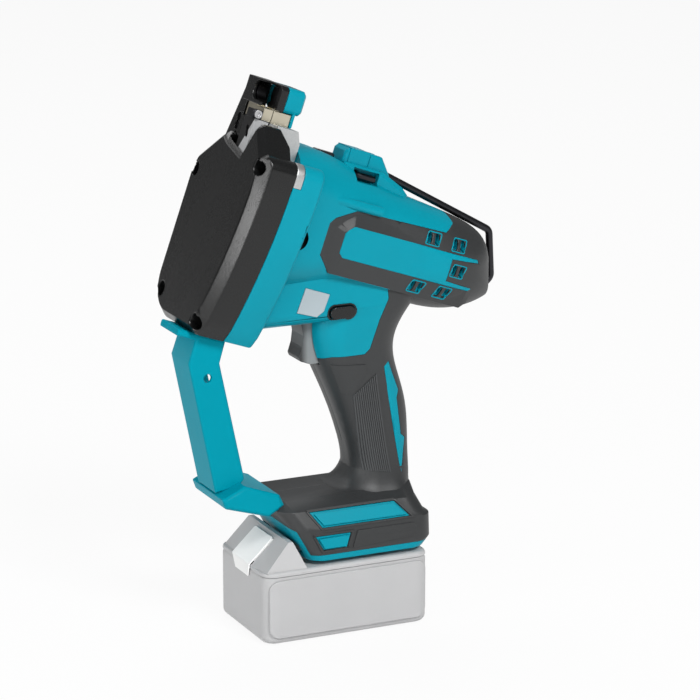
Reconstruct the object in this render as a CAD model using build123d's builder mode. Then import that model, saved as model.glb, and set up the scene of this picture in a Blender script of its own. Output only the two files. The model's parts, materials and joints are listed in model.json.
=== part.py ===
from build123d import *
import os
from math import acos, atan2, cos, degrees, hypot, pi, radians, sin, tan

# Cordless threaded rod cutter. Millimetres, +Z up, origin at the centre of the battery's flat bottom.
# The tool's front points along -X, its left side along -Y. The head has its own frame, tilted nose up:
# u runs rearward along the motor axis, v is the row's +Y and w points up, square to the motor axis.

os.makedirs("parts", exist_ok=True)

# Head frame
head_tilt = 19.5
head_x = -49.1
head_z = 270.5

# Clearances
fit = 0.15
running = 0.05
slip = 0.3

# Cover and flange outline, seen along u
cover_far = 50.0
cover_near = 49.0
cover_low = 81.0
cover_step = 12.0
cover_depth = 23.0
cover_wall = 2.8
cover_chamfer = 4.0
bevel_face = 7.0
bevel_side = 6.0
shoulder_top = 36.5
shoulder_r = 8.0
strip_low = 22.0
strip_rear = 5.4
lobe_top = 52.0
lobe_near = 26.9
lobe_tip = 4.6
lobe_rear = -2.5
notch_v = -12.0
notch_w = 32.0
screw_recess = 4.6

# Housing
shell_wall = 2.6
skin_wall = 2.0
flange_depth = 19.6
neck_rear = 8.2
rear_x = 106.5
rear_low = 201.0
rear_top = 234.0
rear_half = 17.0
rear_corner = 9.0
trigger_zone_low = 198.0
trigger_zone_front = -55.0
trigger_zone_rear = 28.0
trigger_zone_half = 25.0
bump_front = 46.5
bump_flat = 72.7
bump_rear = 81.0
bump_top = 52.0
bump_half = 9.0
bump_joint = 63.4
groove_to = 64.2
bump_base_half = 14.5
bump_base_rear = 95.0

ledge_v = 30.3
ledge_w = 21.0
ledge_r = 3.2
ledge_from = 34.0
ledge_to = 72.0
recess_u = 20.3
recess_w = -7.8
recess_r = 6.8
recess_floor = 32.0

# Barrel sections: u, half width, top, bottom, corner radius
barrel_sections = [
    (neck_rear + 0.4, 37.5, 44.0, -47.0, 24.0),
    (50.0, 32.0, 42.0, -36.0, 25.0),
    (100.0, 31.5, 33.0, -30.5, 26.0),
    (146.0, 30.0, 27.0, -27.5, 24.0),
]
# Raised pods on the barrel's sides: outline at the foot and at the flat face, u and w
pod_side = 35.4
pod_rise = 5.0
pod_close = 0.07
pod_foot = [
    (38.5, -13.5), (38.5, 6.5), (42, 10.5), (55.5, 17.7), (148, 19),
    (152, 14), (152, -20), (148, -24), (49.5, -23.5),
]
pod_face = [
    (50, -9.5), (50, 3), (51.5, 5.5), (55, 8.5), (147, 8.5),
    (149, 6.5), (149, -10), (147, -12), (53, -12),
]
# Handle sections: height, front, rear, half width
handle_sections = [
    (226.0, -14.0, 60.0, 25.0),
    (196.0, -12.5, 50.5, 24.0),
    (172.0, -9.0, 44.2, 21.0),
    (150.0, 0.3, 50.2, 19.0),
    (126.0, 9.4, 54.4, 18.4),
    (106.0, 14.6, 55.0, 18.8),
    (85.0, 7.0, 54.0, 24.0),
]
# Foot sections: height, front, rear, half width
foot_low = 50.0
foot_sections = [
    (foot_low, -25.0, 55.5, 36.5),
    (56.0, -28.0, 60.0, 37.5),
    (70.5, -36.0, 60.0, 36.5),
    (73.0, -37.2, 56.5, 35.4),
    (82.0, -43.0, 52.5, 31.0),
    (87.5, -46.0, 54.0, 21.0),
]
foot_corner = 11.0

# Lever, cam and dies
lever_thick = 9.5
pivot_w = 20.0
pivot_r = 7.0
lever_boss = 16.0
lever_end = 11.0
roller_v = 16.0
roller_w = -42.0
roller_r = 8.0
roller_wide = 7.6
roller_pin_r = 4.0
cam_v = -2.0
cam_w = -42.0
cam_turn = 250.0
lever_swing = 13.0
camshaft_r = 8.0
rod_w = 70.0
rod_r = 5.25
guide_bore_r = 5.5
die_base_low = 53.5
die_base_top = 61.0
die_near = -12.0
die_far = 12.0
die_top = 75.0
movable_die_top = 73.6
die_grip = 8.5
die_gap = 1.0
movable_die_wide = 6.2
fixed_die_wide = 12.0
neck_near = 24.0
neck_far = 22.0

# Gears
plate_thick = 5.0
rim_thick = 4.0
cam_teeth = 52
cam_module = 1.0
pinion_teeth = 12
cluster_teeth = 50
cluster_module = 0.8
gear_wide = 4.0
gear_gap = 0.4
gear_plate_thick = 3.2
cluster_pin_r = 3.0
cam_bearing_r = 13.0

# Motor
shaft_r = 4.0
bearing_r = 9.5
bearing_wide = 6.0
stator_r = 24.5
stator_bore = 14.2
stator_from = 70.0
stator_to = 102.0
magnet_r = 13.6
fan_from = 106.0
fan_wide = 10.0
fan_r = 24.5
rear_bearing_from = 121.0
rear_room_to = 146.0

# Trigger, switch and lock button
trigger_half = 9.0
trigger_travel = 6.5
switch_front = 5.5
switch_long = 31.0
switch_low = 171.5
switch_top = 196.5
switch_half = 11.0
lock_x = 1.5
lock_z = 205.0
lock_long = 17.0
lock_high = 7.6
lock_reach = 27.5
side_plate_points = [(-23, 222.6), (-7, 217), (-11, 206.8), (-15.8, 203.6), (-29, 207.5)]

# Hook and hex wrench
hook_wire = 2.3
hook_pin_r = 2.2
hook_pivot_u = 71.0
hook_pivot_w = 43.6
hook_bend_x = 116.7
hook_bend_z = 240.6
hook_tip_x = 110.2
hook_tip_z = 204.0
wrench_flats = 4.0
wrench_u = 56.0
wrench_to = 69.5
wrench_v = -12.2
wrench_w = 37.4
wrench_end = 12.0
lamp_u = 36.5
lamp_long = 15.0
lamp_wide = 9.0
lamp_low = 39.5
lamp_high = 6.5

# Front guard
guard_half = 15.0
guard_wall = 3.0
shoe_half = 26.0
strap_hole_r = 2.6
strap_hole_x = -83.9
strap_hole_z = 170.0

# Battery
pack_long = 113.0
pack_half = 37.5
case_high = 44.0
lid_high = 3.0
pack_corner = 9.0
pack_wall = 2.5
rail_half = 20.0
rail_head_half = 27.0
rail_head_low = 54.0
rail_head_high = 5.4
rail_front = -26.0
rail_rear = 48.0
hump_top = 63.5
hump_half = 36.0
hump_top_half = 31.0
button_half = 13.0
button_long = 18.6
button_thick = 4.0
button_travel = 2.6
cell_r = 9.1
cell_long = 65.0

# Values that follow from the driving dimensions
along = Vector(cos(radians(head_tilt)), 0, -sin(radians(head_tilt)))
upward = Vector(sin(radians(head_tilt)), 0, cos(radians(head_tilt)))
head = Plane(origin=(head_x, 0, head_z), x_dir=(0, 1, 0), z_dir=along)
head_side = Plane(origin=(head_x, 0, head_z), x_dir=along, z_dir=(0, -1, 0))
lever_front = -cover_depth + cover_wall + 0.7
lever_rear = lever_front + lever_thick
shear_plane = lever_rear + 0.5
cam_plane = shear_plane + slip
cam_gear_at = plate_thick + gear_gap
cluster_at = cam_gear_at + gear_wide + gear_gap
gear_plate_at = cluster_at + gear_wide + gear_gap
motor_room = gear_plate_at + gear_plate_thick
pack_top = case_high + lid_high
rail_head_top = rail_head_low + rail_head_high
hook_slot = hook_wire + 0.4
far_away = 400.0
cut = Mode.SUBTRACT


def save(piece, name):
    """label a finished piece and write it"""
    piece.part.label = name
    export_step(piece.part, f"parts/{name}.step")


def on_head(u, v, w):
    """a point given in the head frame"""
    return head.from_local_coords(Vector(v, w, u))


def cylinder_along_u(v, w, radius, start, end, mode=Mode.ADD):
    """a round bar or bore along the motor direction"""
    with BuildSketch(head.offset(start)) as round_face:
        with Locations((v, w)):
            Circle(radius)
    extrude(round_face.sketch, amount=end - start, mode=mode)


def block_on_head(u_from, u_to, v_from, v_to, w_from, w_to, mode=Mode.ADD):
    """a block given by its limits in the head frame"""
    with BuildSketch(head.offset(u_from)) as face:
        with Locations(((v_from + v_to) / 2, (w_from + w_to) / 2)):
            Rectangle(v_to - v_from, w_to - w_from)
    extrude(face.sketch, amount=u_to - u_from, mode=mode)


def block_on_row(x_from, x_to, half, z_from, z_to, mode=Mode.ADD):
    """a block across the middle plane, given by its limits in the row frame"""
    with BuildSketch(Plane.XZ) as face:
        with Locations(((x_from + x_to) / 2, (z_from + z_to) / 2)):
            Rectangle(x_to - x_from, z_to - z_from)
    extrude(face.sketch, amount=half, both=True, mode=mode)


def outline(inset=0.0):
    """the cover's outline seen along the motor axis, drawn in on every side"""
    with BuildLine() as edge:
        far_top = Line((cover_far, cover_step), (cover_far, -0.67 * cover_low))
        far_low = ThreePointArc(far_top @ 1, (0.87 * cover_far, -0.89 * cover_low), (22, -cover_low))
        low = Line(far_low @ 1, (-22, -cover_low))
        low_near = Line(low @ 1, (-27, 7 - cover_low))
        near = ThreePointArc(low_near @ 1, (7.2 - cover_near, -30), (-cover_near, 18))
        near_side = Line(near @ 1, (-cover_near, shoulder_top - shoulder_r))
        near_top = TangentArc(near_side @ 1, (shoulder_r - cover_near, shoulder_top), tangent=near_side % 1)
        notch = Polyline(near_top @ 1, (notch_v, notch_w), (9, notch_w + 5), (18, notch_w + 9))
        Polyline(notch @ 1, (cover_far - 4.5, cover_step + 9.5), far_top @ 0)
    make_face(edge.edges())
    if inset:
        offset(amount=-inset)


def shoulder_piece(u_from, u_to, mode=Mode.ADD):
    """the near shoulder of the outline, beside the neck, as a slice of the head"""
    with BuildSketch(head.offset(u_from)) as slice_face:
        outline()
        with Locations((-neck_near - slip - far_away / 2, strip_low + far_away / 2)):
            Rectangle(far_away, far_away, mode=Mode.INTERSECT)
    extrude(slice_face.sketch, amount=u_to - u_from, mode=mode)


def near_bevel(shift, mode):
    """what the wide bevel takes from the cover's near edge, moved inwards by a shift"""
    faces = []
    for step in (-1, 1):
        u = step * bevel_side - cover_depth
        reach = (1 - step) * bevel_face + shift
        with BuildSketch(head.offset(u)) as slice_face:
            with BuildLine() as edge:
                low = Line((reach - 21, -5 - cover_low), (reach - 27, 7 - cover_low))
                side = ThreePointArc(low @ 1, (reach + 7.2 - cover_near, -30), (reach - cover_near, 18))
                Polyline(
                    side @ 1, (reach - cover_near, shoulder_top + 20), (-far_away, shoulder_top + 20),
                    (-far_away, -5 - cover_low), low @ 0,
                )
            make_face(edge.edges())
        faces.append(slice_face.sketch)
    loft(faces, ruled=True, mode=mode)


def barrel(inset):
    """the motor barrel, drawn in on every side"""
    sections = []
    for u, half, top, low, corner in barrel_sections:
        start = inset if u < neck_rear + 1 else 0
        with BuildSketch(head.offset(u + start)) as section:
            with Locations((0, (top + low) / 2)):
                RectangleRounded(2 * (half - inset), top - low - 2 * inset, corner - inset)
        sections.append(section.sketch)
    rear = Plane(origin=(rear_x - inset, 0, (rear_low + rear_top) / 2), x_dir=(0, 1, 0), z_dir=(1, 0, 0))
    with BuildSketch(rear) as section:
        RectangleRounded(2 * (rear_half - inset), rear_top - rear_low - 2 * inset, rear_corner - inset)
    sections.append(section.sketch)
    loft(sections)


def handle(inset):
    """the hand grip and the block over the trigger, drawn in on every side"""
    sections = []
    for z, front, rear, half in handle_sections:
        with BuildSketch(Plane.XY.offset(z)) as section:
            with Locations(((front + rear) / 2, 0)):
                RectangleRounded(rear - front - 2 * inset, 2 * (half - inset), 0.78 * half - inset)
        sections.append(section.sketch)
    loft(sections)
    with BuildSketch(Plane.YZ.offset(trigger_zone_front)) as zone:
        with Locations((0, trigger_zone_low + 22)):
            RectangleRounded(2 * (trigger_zone_half - inset), 44 - 2 * inset, 9 - inset)
    extrude(zone.sketch, amount=trigger_zone_rear - inset - trigger_zone_front)


def foot(inset):
    """the foot that carries the battery, drawn in on every side"""
    sections = []
    for z, front, rear, half in foot_sections:
        with BuildSketch(Plane.XY.offset(max(z, foot_low + inset) - (inset if z > 85 else 0))) as section:
            with Locations(((front + rear) / 2, 0)):
                RectangleRounded(rear - front - 2 * inset, 2 * (half - inset), foot_corner - inset)
        sections.append(section.sketch)
    loft(sections, ruled=True)


def gear_outline(teeth, module, tooth_at, steps):
    """an involute spur gear's outline, with one tooth centred on the angle tooth_at"""
    pressure = radians(20)
    pitch = teeth * module / 2
    base = pitch * cos(pressure)
    root = pitch - 1.05 * module
    tip = pitch + 0.75 * module
    backlash = 0.09 * module
    half_pitch = pi / (2 * teeth) - backlash / pitch + tan(pressure) - pressure
    flank = [root + (tip - root) * step / steps for step in range(steps + 1)]
    points = []
    for tooth in range(teeth):
        centre = radians(tooth_at) + 2 * pi * tooth / teeth
        sides = []
        for radius in flank:
            lean = acos(min(base / radius, 1))
            sides.append((radius, half_pitch - tan(lean) + lean))
        points += [(r * cos(centre - half), r * sin(centre - half)) for r, half in sides]
        points += [(r * cos(centre + half), r * sin(centre + half)) for r, half in reversed(sides)]
    return points


def gear(v, w, start, teeth, module, tooth_at, steps=2):
    """a spur gear across the head, one gear width thick"""
    with BuildSketch(head.offset(start)) as teeth_face:
        with Locations((v, w)):
            Polygon(*gear_outline(teeth, module, tooth_at, steps), align=None)
    extrude(teeth_face.sketch, amount=gear_wide)


def pods(inset):
    """the raised pods of both sides: flat faces that close in towards the rear, with sloping edges"""
    lean = along + Vector(0, pod_close, 0)
    normal = along * pod_close - Vector(0, 1, 0)
    sections = []
    for reach, points in ((pod_side - pod_rise - inset, pod_foot), (pod_side - inset, pod_face)):
        with BuildSketch(Plane(origin=on_head(50, -reach, 0), x_dir=lean, z_dir=normal)) as section:
            Polygon(*[(u - 50, w) for u, w in points], align=None)
        sections.append(section.sketch)
    near = loft(sections, ruled=True)
    mirror(near, about=Plane.XZ)


# Outer form of both housing halves together, and the same form drawn in by the soft skin
with BuildPart() as bump:
    with BuildSketch(head_side):
        with BuildLine():
            Polyline(
                (bump_front, 34), (bump_front, bump_top - 2), (bump_front + 2, bump_top),
                (bump_flat, bump_top), (bump_rear, 42.5), (bump_rear + 2, 34), close=True,
            )
        make_face()
    extrude(amount=bump_half, both=True)
    chamfer(bump.faces().filter_by(Axis.Y).edges(), 1.4)
    block_on_head(bump_front + 3, bump_joint, -bump_half - 0.7, bump_half + 0.7, 36, bump_top + 0.6)
    for side in (-1, 1):
        block_on_head(bump_joint, groove_to, side * bump_half - 0.7, side * bump_half + 0.7, 36, 60, mode=cut)
    block_on_head(bump_joint, groove_to, -bump_half, bump_half, bump_top - 0.7, 60, mode=cut)
with BuildPart() as bump_base:
    with BuildSketch(head_side):
        with BuildLine():
            Polyline(
                (bump_front - 0.5, 30), (bump_front - 0.5, 43.6), (74, 43.6), (90, 37.8),
                (bump_base_rear, 34), (bump_base_rear, 30), close=True,
            )
        make_face()
    extrude(amount=bump_base_half, both=True)
    chamfer(bump_base.faces().filter_by(Axis.Y).edges(), 2.2)

with BuildPart() as flange:
    with BuildSketch(head):
        outline()
    extrude(amount=flange_depth)
    fillet(flange.faces().sort_by(Axis((0, 0, 0), along))[-1].edges(), 2.4)
    shoulder_piece(0, strip_rear + fit, mode=cut)

with BuildPart() as form:
    barrel(0)
    pods(0)
    handle(0)
    foot(0)
    add(flange.part)
    add(bump.part)
    add(bump_base.part)
    for side in (-1, 1):
        cylinder_along_u(side * ledge_v, ledge_w, ledge_r, ledge_from, ledge_to)

with BuildPart() as core:
    barrel(skin_wall)
    pods(skin_wall)
    handle(skin_wall)
    foot(skin_wall)

# Reach of the soft skin, seen from the side: barrel surround, handle and foot
with BuildPart() as skin_zone:
    with BuildSketch(head_side):
        with BuildLine():
            Polyline(
                (95, -23.5), (49.5, -23.5), (38.5, -13.5), (38.5, 6.5), (42, 10.5), (55.5, 17.7),
                (121, 19.5), (127, 26), (123, 34), (200, 34), (200, -60), (112, -60), close=True,
            )
        make_face()
        with BuildLine():
            Polyline(
                (50, -9.5), (53, -12), (147, -12), (149, -10), (128.5, -9), (128, 5), (149, 6.5),
                (147, 8.5), (55, 8.5), (51.5, 5.5), (50, 3), close=True,
            )
        make_face(mode=cut)
    extrude(amount=60, both=True)
    with BuildSketch(Plane.XZ):
        with BuildLine():
            Polyline(
                (-14, 171), (-2.5, 175), (18.5, 175.2), (22, 178.6), (27.5, 197), (33.6, 211),
                (60, 205), (80, 190), (80, 54), (-24, 54), (-33, 70), (-46, 76.5), (-60, 76.5),
                (-60, 100), (-20, 100), close=True,
            )
        make_face()
        with BuildLine():
            Polyline(
                (36.1, 168.4), (32.6, 165.5), (45.1, 93.6), (49, 116.6), (45.6, 119.5), (42.4, 143.7),
                (44.1, 148.4), close=True,
            )
        make_face(mode=cut)
        with BuildLine():
            Polyline((-24, 81), (34, 81), (43, 71.5), (-17, 71.5), close=True)
        make_face(mode=cut)
        with BuildLine():
            Polyline((-22, 66.5), (2, 66.5), (-1, 57.5), (-17, 57.5), close=True)
        make_face(mode=cut)
    extrude(amount=60, both=True)

# Vent slots of the barrel: u, w, in pairs
vent_places = [(112.0, 14.0), (131.0, 14.0), (134.5, -1.5), (111.0, -17.5), (130.0, -17.0)]
vent_wide = 3.2
vent_high = 7.0
vent_step = 5.4

# Screws that hold the halves together: x, z
housing_screw_places = [
    (-26.0, 211.0), (42.0, 190.0), (44.0, 112.0), (-36.0, 80.0), (53.6, 64.5), (94.0, 220.0),
]
screw_head_y = 12.0
screw_head_r = 3.0
screw_shank_r = 1.6
screw_end_y = -10.0

# Vents, screw recesses and the trigger's slot, which pass the skin as well as the halves
with BuildPart() as vents:
    block_on_row(-30, switch_front + 1, trigger_half + slip, 168.6, 198.8)
    with BuildSketch(head_side.offset(recess_floor)):
        with Locations((recess_u, recess_w)):
            Circle(recess_r)
        with Locations((flange_depth - far_away / 2, 0)):
            Rectangle(far_away, far_away, mode=cut)
    extrude(amount=30)
    with BuildSketch(head_side.offset(25)):
        for u, w in vent_places:
            with Locations((u - vent_step / 2, w), (u + vent_step / 2, w)):
                SlotOverall(vent_high, vent_wide, rotation=90)
    extrude(amount=25)
    with BuildSketch(head_side.offset(-25)):
        for u, w in vent_places:
            with Locations((u - vent_step / 2, w), (u + vent_step / 2, w)):
                SlotOverall(vent_high, vent_wide, rotation=90)
    extrude(amount=-25)
    with BuildSketch(Plane.XZ.offset(-screw_head_y)):
        with Locations(*housing_screw_places):
            Circle(screw_head_r + slip)
    extrude(amount=-60)

# Everything that is hollow inside the halves
with BuildPart() as hollow:
    add(vents.part)
    with BuildSketch(head.offset(-1)):
        outline(shell_wall)
    extrude(amount=1 + motor_room)
    block_on_head(-1, neck_rear + slip, -neck_near - slip, neck_far + slip, pivot_w, lobe_top + 20)
    cylinder_along_u(0, 0, stator_r + 0.5, motor_room - 1, stator_from)
    cylinder_along_u(0, 0, stator_r + running, stator_from - 1, stator_to)
    cylinder_along_u(0, 0, fan_r + 1.5, stator_to - 0.01, rear_bearing_from - 3)
    cylinder_along_u(0, 0, bearing_r - 2, rear_bearing_from - 4, rear_room_to)
    cylinder_along_u(0, 0, bearing_r + running, rear_bearing_from, rear_bearing_from + bearing_wide)
    cylinder_along_u(0, 0, 20, rear_bearing_from + bearing_wide + 2, rear_room_to)
    block_on_row(switch_front, switch_front + switch_long, switch_half + fit, switch_low, switch_top)
    with BuildSketch(Plane.XZ):
        with Locations((lock_x, lock_z)):
            SlotOverall(lock_long + 2 * slip, lock_high + 2 * slip)
    extrude(amount=60, both=True)
    block_on_row(22, 30, 4, 64, switch_low + 1)
    block_on_row(-18, 48, 27 + fit, 62, 70)
    block_on_row(28, 46, 15 + fit, 59, 63)
    block_on_row(-60, rail_rear + 1, rail_half + 0.5, foot_low - 1, rail_head_low)
    block_on_row(-60, rail_rear + 1, rail_head_half + 0.4, rail_head_low - 0.3, rail_head_top + 0.4)
    block_on_head(hook_pivot_u - 6.5, bump_base_rear + 4, -hook_slot, hook_slot, 37.5, bump_top + 1)
    with BuildSketch(head_side):
        with Locations((hook_pivot_u, hook_pivot_w)):
            Circle(hook_pin_r + running)
    extrude(amount=bump_half - 2, both=True)
    block_on_head(wrench_u - 3, wrench_to + 1.5, -40, wrench_v + 3.4, wrench_w - 3, wrench_w + 4.6)
    with BuildSketch(head_side.offset(-wrench_end - 0.6)):
        with Locations((wrench_u, wrench_w)):
            Rectangle(wrench_flats + 2, wrench_flats + 2)
    extrude(amount=wrench_end + 0.6 - wrench_v)
    with BuildSketch(Plane(origin=on_head(lamp_u, 0, lamp_low), x_dir=along, z_dir=upward)):
        SlotOverall(lamp_long + 2 * fit, lamp_wide + 2 * fit)
    extrude(amount=20)
    with BuildSketch(Plane.XZ.offset(trigger_zone_half - 0.5)):
        Polygon(*side_plate_points, align=None)
        offset(amount=fit)
    extrude(amount=20)
    with BuildSketch(Plane.XZ.offset(-screw_head_y - 1)):
        with Locations(*housing_screw_places):
            Circle(screw_shank_r)
    extrude(amount=screw_head_y + 1 - screw_end_y)

with BuildPart() as skin:
    add(form.part)
    add(skin_zone.part, mode=Mode.INTERSECT)
    add(core.part, mode=cut)
    add(vents.part, mode=cut)

with BuildPart() as shell:
    add(form.part)
    add(skin_zone.part, mode=cut)
    add(core.part)
    add(hollow.part, mode=cut)

with BuildPart() as left_housing:
    add(shell.part)
    split(bisect_by=Plane.XZ, keep=Keep.TOP)
save(left_housing, "left_housing")

with BuildPart() as right_housing:
    add(shell.part)
    split(bisect_by=Plane.XZ, keep=Keep.BOTTOM)
save(right_housing, "right_housing")

with BuildPart() as left_overmould:
    add(skin.part)
    split(bisect_by=Plane.XZ, keep=Keep.TOP)
save(left_overmould, "left_overmould")

with BuildPart() as right_overmould:
    add(skin.part)
    split(bisect_by=Plane.XZ, keep=Keep.BOTTOM)
save(right_overmould, "right_overmould")

# Cover over the lever, with a notch that shows the lever's head
lobe = [
    (shoulder_r - cover_near, shoulder_top), (-lobe_near, lobe_top),
    (lobe_tip - lobe_near, lobe_top), (notch_v, notch_w),
]
cover_screw_places = [
    (shoulder_r - cover_near, shoulder_top - shoulder_r - 1),
    (cover_far - 7.5, cover_step - 1),
    (cover_far - 12, 15 - cover_low),
    (-20, 7.5 - cover_low),
]
cover_screw_seat = -5.0
guard_face = Plane(origin=on_head(0, 0, -cover_low - 0.2), x_dir=along, z_dir=upward)
guard_screw_places = [(-6, -7), (-6, 7)]
guard_screw_seat = -5.0
with BuildPart() as cover_room:
    with BuildSketch(head.offset(cover_wall - cover_depth)):
        outline(cover_wall)
    extrude(amount=cover_depth)
    with BuildSketch(head.offset(cover_wall - cover_depth)):
        with Locations((0.85 * cover_wall, -cover_wall)):
            Polygon(*lobe, align=None)
    extrude(amount=cover_depth - cover_wall + shear_plane)
    near_bevel(1.3 * cover_wall, cut)
with BuildPart() as front_cover:
    with BuildSketch(head.offset(-cover_depth)):
        outline()
        Polygon(*lobe, align=None)
    extrude(amount=cover_depth + lobe_rear)
    with BuildSketch(head.offset(lobe_rear)):
        outline()
    extrude(amount=-lobe_rear)
    chamfer(front_cover.faces().sort_by(Axis((0, 0, 0), along))[0].edges(), cover_chamfer)
    add(cover_room.part, mode=cut)
    with BuildSketch(head_side):
        with BuildLine():
            Polyline(
                (shear_plane, lobe_top + 2), (lobe_rear, 43.5), (1, 43.5), (1, 80), (shear_plane, 80), close=True,
            )
        make_face()
    extrude(amount=60, both=True, mode=cut)
    block_on_head(cover_wall - cover_depth, 1, -21, 14, 20, lobe_top + 20, mode=cut)
    block_on_head(shear_plane - 0.2, 1, -neck_near - slip, neck_far + slip, 14, lobe_top + 20, mode=cut)
    for v, w in cover_screw_places:
        cylinder_along_u(v, w, screw_recess + 1, cover_wall - cover_depth - 0.5, 0)
    near_bevel(0, cut)
    for v, w in cover_screw_places:
        cylinder_along_u(v, w, screw_recess, -cover_depth - 1, cover_screw_seat, mode=cut)
        cylinder_along_u(v, w, screw_shank_r + 0.1, cover_screw_seat - 1, 1, mode=cut)
    with BuildSketch(guard_face):
        with Locations(*guard_screw_places):
            Circle(1.6)
    extrude(amount=cover_wall - 0.2, mode=cut)
save(front_cover, "front_cover")

with BuildPart() as cover_screws:
    for v, w in cover_screw_places:
        cylinder_along_u(v, w, 3.4, cover_screw_seat - 2.8, cover_screw_seat)
        cylinder_along_u(v, w, screw_shank_r, cover_screw_seat, plate_thick - 0.4)
    with BuildSketch(head.offset(cover_screw_seat - 2.8)):
        with Locations(*cover_screw_places):
            RegularPolygon(1.7, 6)
    extrude(amount=1.6, mode=cut)
save(cover_screws, "cover_screws")

# Gear train layout: motor and cam centres given, the cluster lies on the far side of the line between them
motor_to_cluster = (pinion_teeth + cluster_teeth) * cluster_module / 2
cluster_to_cam = (pinion_teeth + cam_teeth) * cam_module / 2
motor_to_cam = hypot(cam_v, cam_w)
foot_on_line = (motor_to_cluster**2 - cluster_to_cam**2 + motor_to_cam**2) / (2 * motor_to_cam)
off_line = (motor_to_cluster**2 - foot_on_line**2) ** 0.5
cluster_v = (foot_on_line * cam_v - off_line * cam_w) / motor_to_cam
cluster_w = (foot_on_line * cam_w + off_line * cam_v) / motor_to_cam
cluster_seen = degrees(atan2(cluster_w, cluster_v))
cam_seen = degrees(atan2(cam_w - cluster_w, cam_v - cluster_v))

# Gear case: plate, rim, boss of the lever pivot and the neck that carries the fixed die
with BuildPart() as gear_case:
    with BuildSketch(head.offset(fit)):
        outline(shell_wall + fit)
    extrude(amount=gear_plate_at - fit)
    with BuildSketch(head.offset(plate_thick)):
        outline(shell_wall + rim_thick)
    extrude(amount=gear_plate_at, mode=cut)
    shoulder_piece(fit, strip_rear)
    block_on_head(shear_plane + 0.1, neck_rear, -neck_near, neck_far, 26, die_base_low)
    with BuildSketch(head_side):
        with BuildLine():
            Polyline((5, die_base_low), (5, 60), (9, 60), (9, die_base_low - 9), close=True)
        make_face()
    extrude(amount=40, both=True, mode=cut)
    cylinder_along_u(0, pivot_w, pivot_r + 5, shear_plane + 0.1, plate_thick)
    cylinder_along_u(0, pivot_w, pivot_r + running, shear_plane - 1, plate_thick + 1, mode=cut)
    cylinder_along_u(cam_v, cam_w, cam_bearing_r + running, 0, plate_thick + 1, mode=cut)
    cylinder_along_u(cluster_v, cluster_w, cluster_pin_r + running, 1.5, plate_thick + 1, mode=cut)
    for v, w in cover_screw_places:
        cylinder_along_u(v, w, screw_shank_r + 0.1, -1, plate_thick, mode=cut)
save(gear_case, "gear_case")

with BuildPart() as cam_bearing:
    cylinder_along_u(cam_v, cam_w, cam_bearing_r, fit, plate_thick - fit)
    cylinder_along_u(cam_v, cam_w, camshaft_r + running, 0, plate_thick, mode=cut)
save(cam_bearing, "cam_bearing")

with BuildPart() as gear_plate:
    with BuildSketch(head.offset(gear_plate_at)):
        outline(shell_wall + fit)
    extrude(amount=gear_plate_thick)
    cylinder_along_u(0, 0, bearing_r + 3, gear_plate_at, gear_plate_at + 1 + bearing_wide)
    cylinder_along_u(0, 0, bearing_r + running, gear_plate_at + 1, gear_plate_at + 10, mode=cut)
    cylinder_along_u(0, 0, shaft_r + 1.6, gear_plate_at - 1, gear_plate_at + 3, mode=cut)
    cylinder_along_u(cam_v, cam_w, camshaft_r + running, gear_plate_at - 1, motor_room + 1, mode=cut)
    cylinder_along_u(cluster_v, cluster_w, cluster_pin_r + running, gear_plate_at - 1, motor_room, mode=cut)
save(gear_plate, "gear_plate")

# Gears: each pair has a tooth of one in a gap of the other on the line between the centres
with BuildPart() as rotor_shaft:
    gear(0, 0, cluster_at, pinion_teeth, cluster_module, cluster_seen, steps=3)
    cylinder_along_u(0, 0, shaft_r, cluster_at + gear_wide, rear_bearing_from + bearing_wide)
save(rotor_shaft, "rotor_shaft")

with BuildPart() as cluster_gear:
    tooth_at = cluster_seen + 180 + 180 / cluster_teeth
    gear(cluster_v, cluster_w, cluster_at, cluster_teeth, cluster_module, tooth_at)
    gear(cluster_v, cluster_w, cam_gear_at, pinion_teeth, cam_module, cam_seen, steps=3)
    cylinder_along_u(cluster_v, cluster_w, 4.6, cam_gear_at, cluster_at)
    cylinder_along_u(cluster_v, cluster_w, cluster_pin_r + running, 0, gear_plate_at, mode=cut)
save(cluster_gear, "cluster_gear")

with BuildPart() as cluster_pin:
    cylinder_along_u(cluster_v, cluster_w, cluster_pin_r, 1.7, motor_room - 0.2)
save(cluster_pin, "cluster_pin")

with BuildPart() as cam_gear:
    gear(cam_v, cam_w, cam_gear_at, cam_teeth, cam_module, cam_seen + 180 + 180 / cam_teeth)
    cylinder_along_u(cam_v, cam_w, camshaft_r + running, 0, gear_plate_at, mode=cut)
    with BuildSketch(head.offset(cam_gear_at)):
        with Locations((cam_v, cam_w)):
            with PolarLocations(17, 5):
                Circle(4)
    extrude(amount=gear_wide, mode=cut)
save(cam_gear, "cam_gear")


def roller_centre(turn):
    """the roller's distance and angle from the cam axis when the cam has turned so far"""
    swing = radians(lever_swing * turn / cam_turn)
    v = roller_v * cos(swing) - (roller_w - pivot_w) * sin(swing) - cam_v
    w = roller_v * sin(swing) + (roller_w - pivot_w) * cos(swing) + pivot_w - cam_w
    return hypot(v, w), degrees(atan2(w, v))


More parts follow.
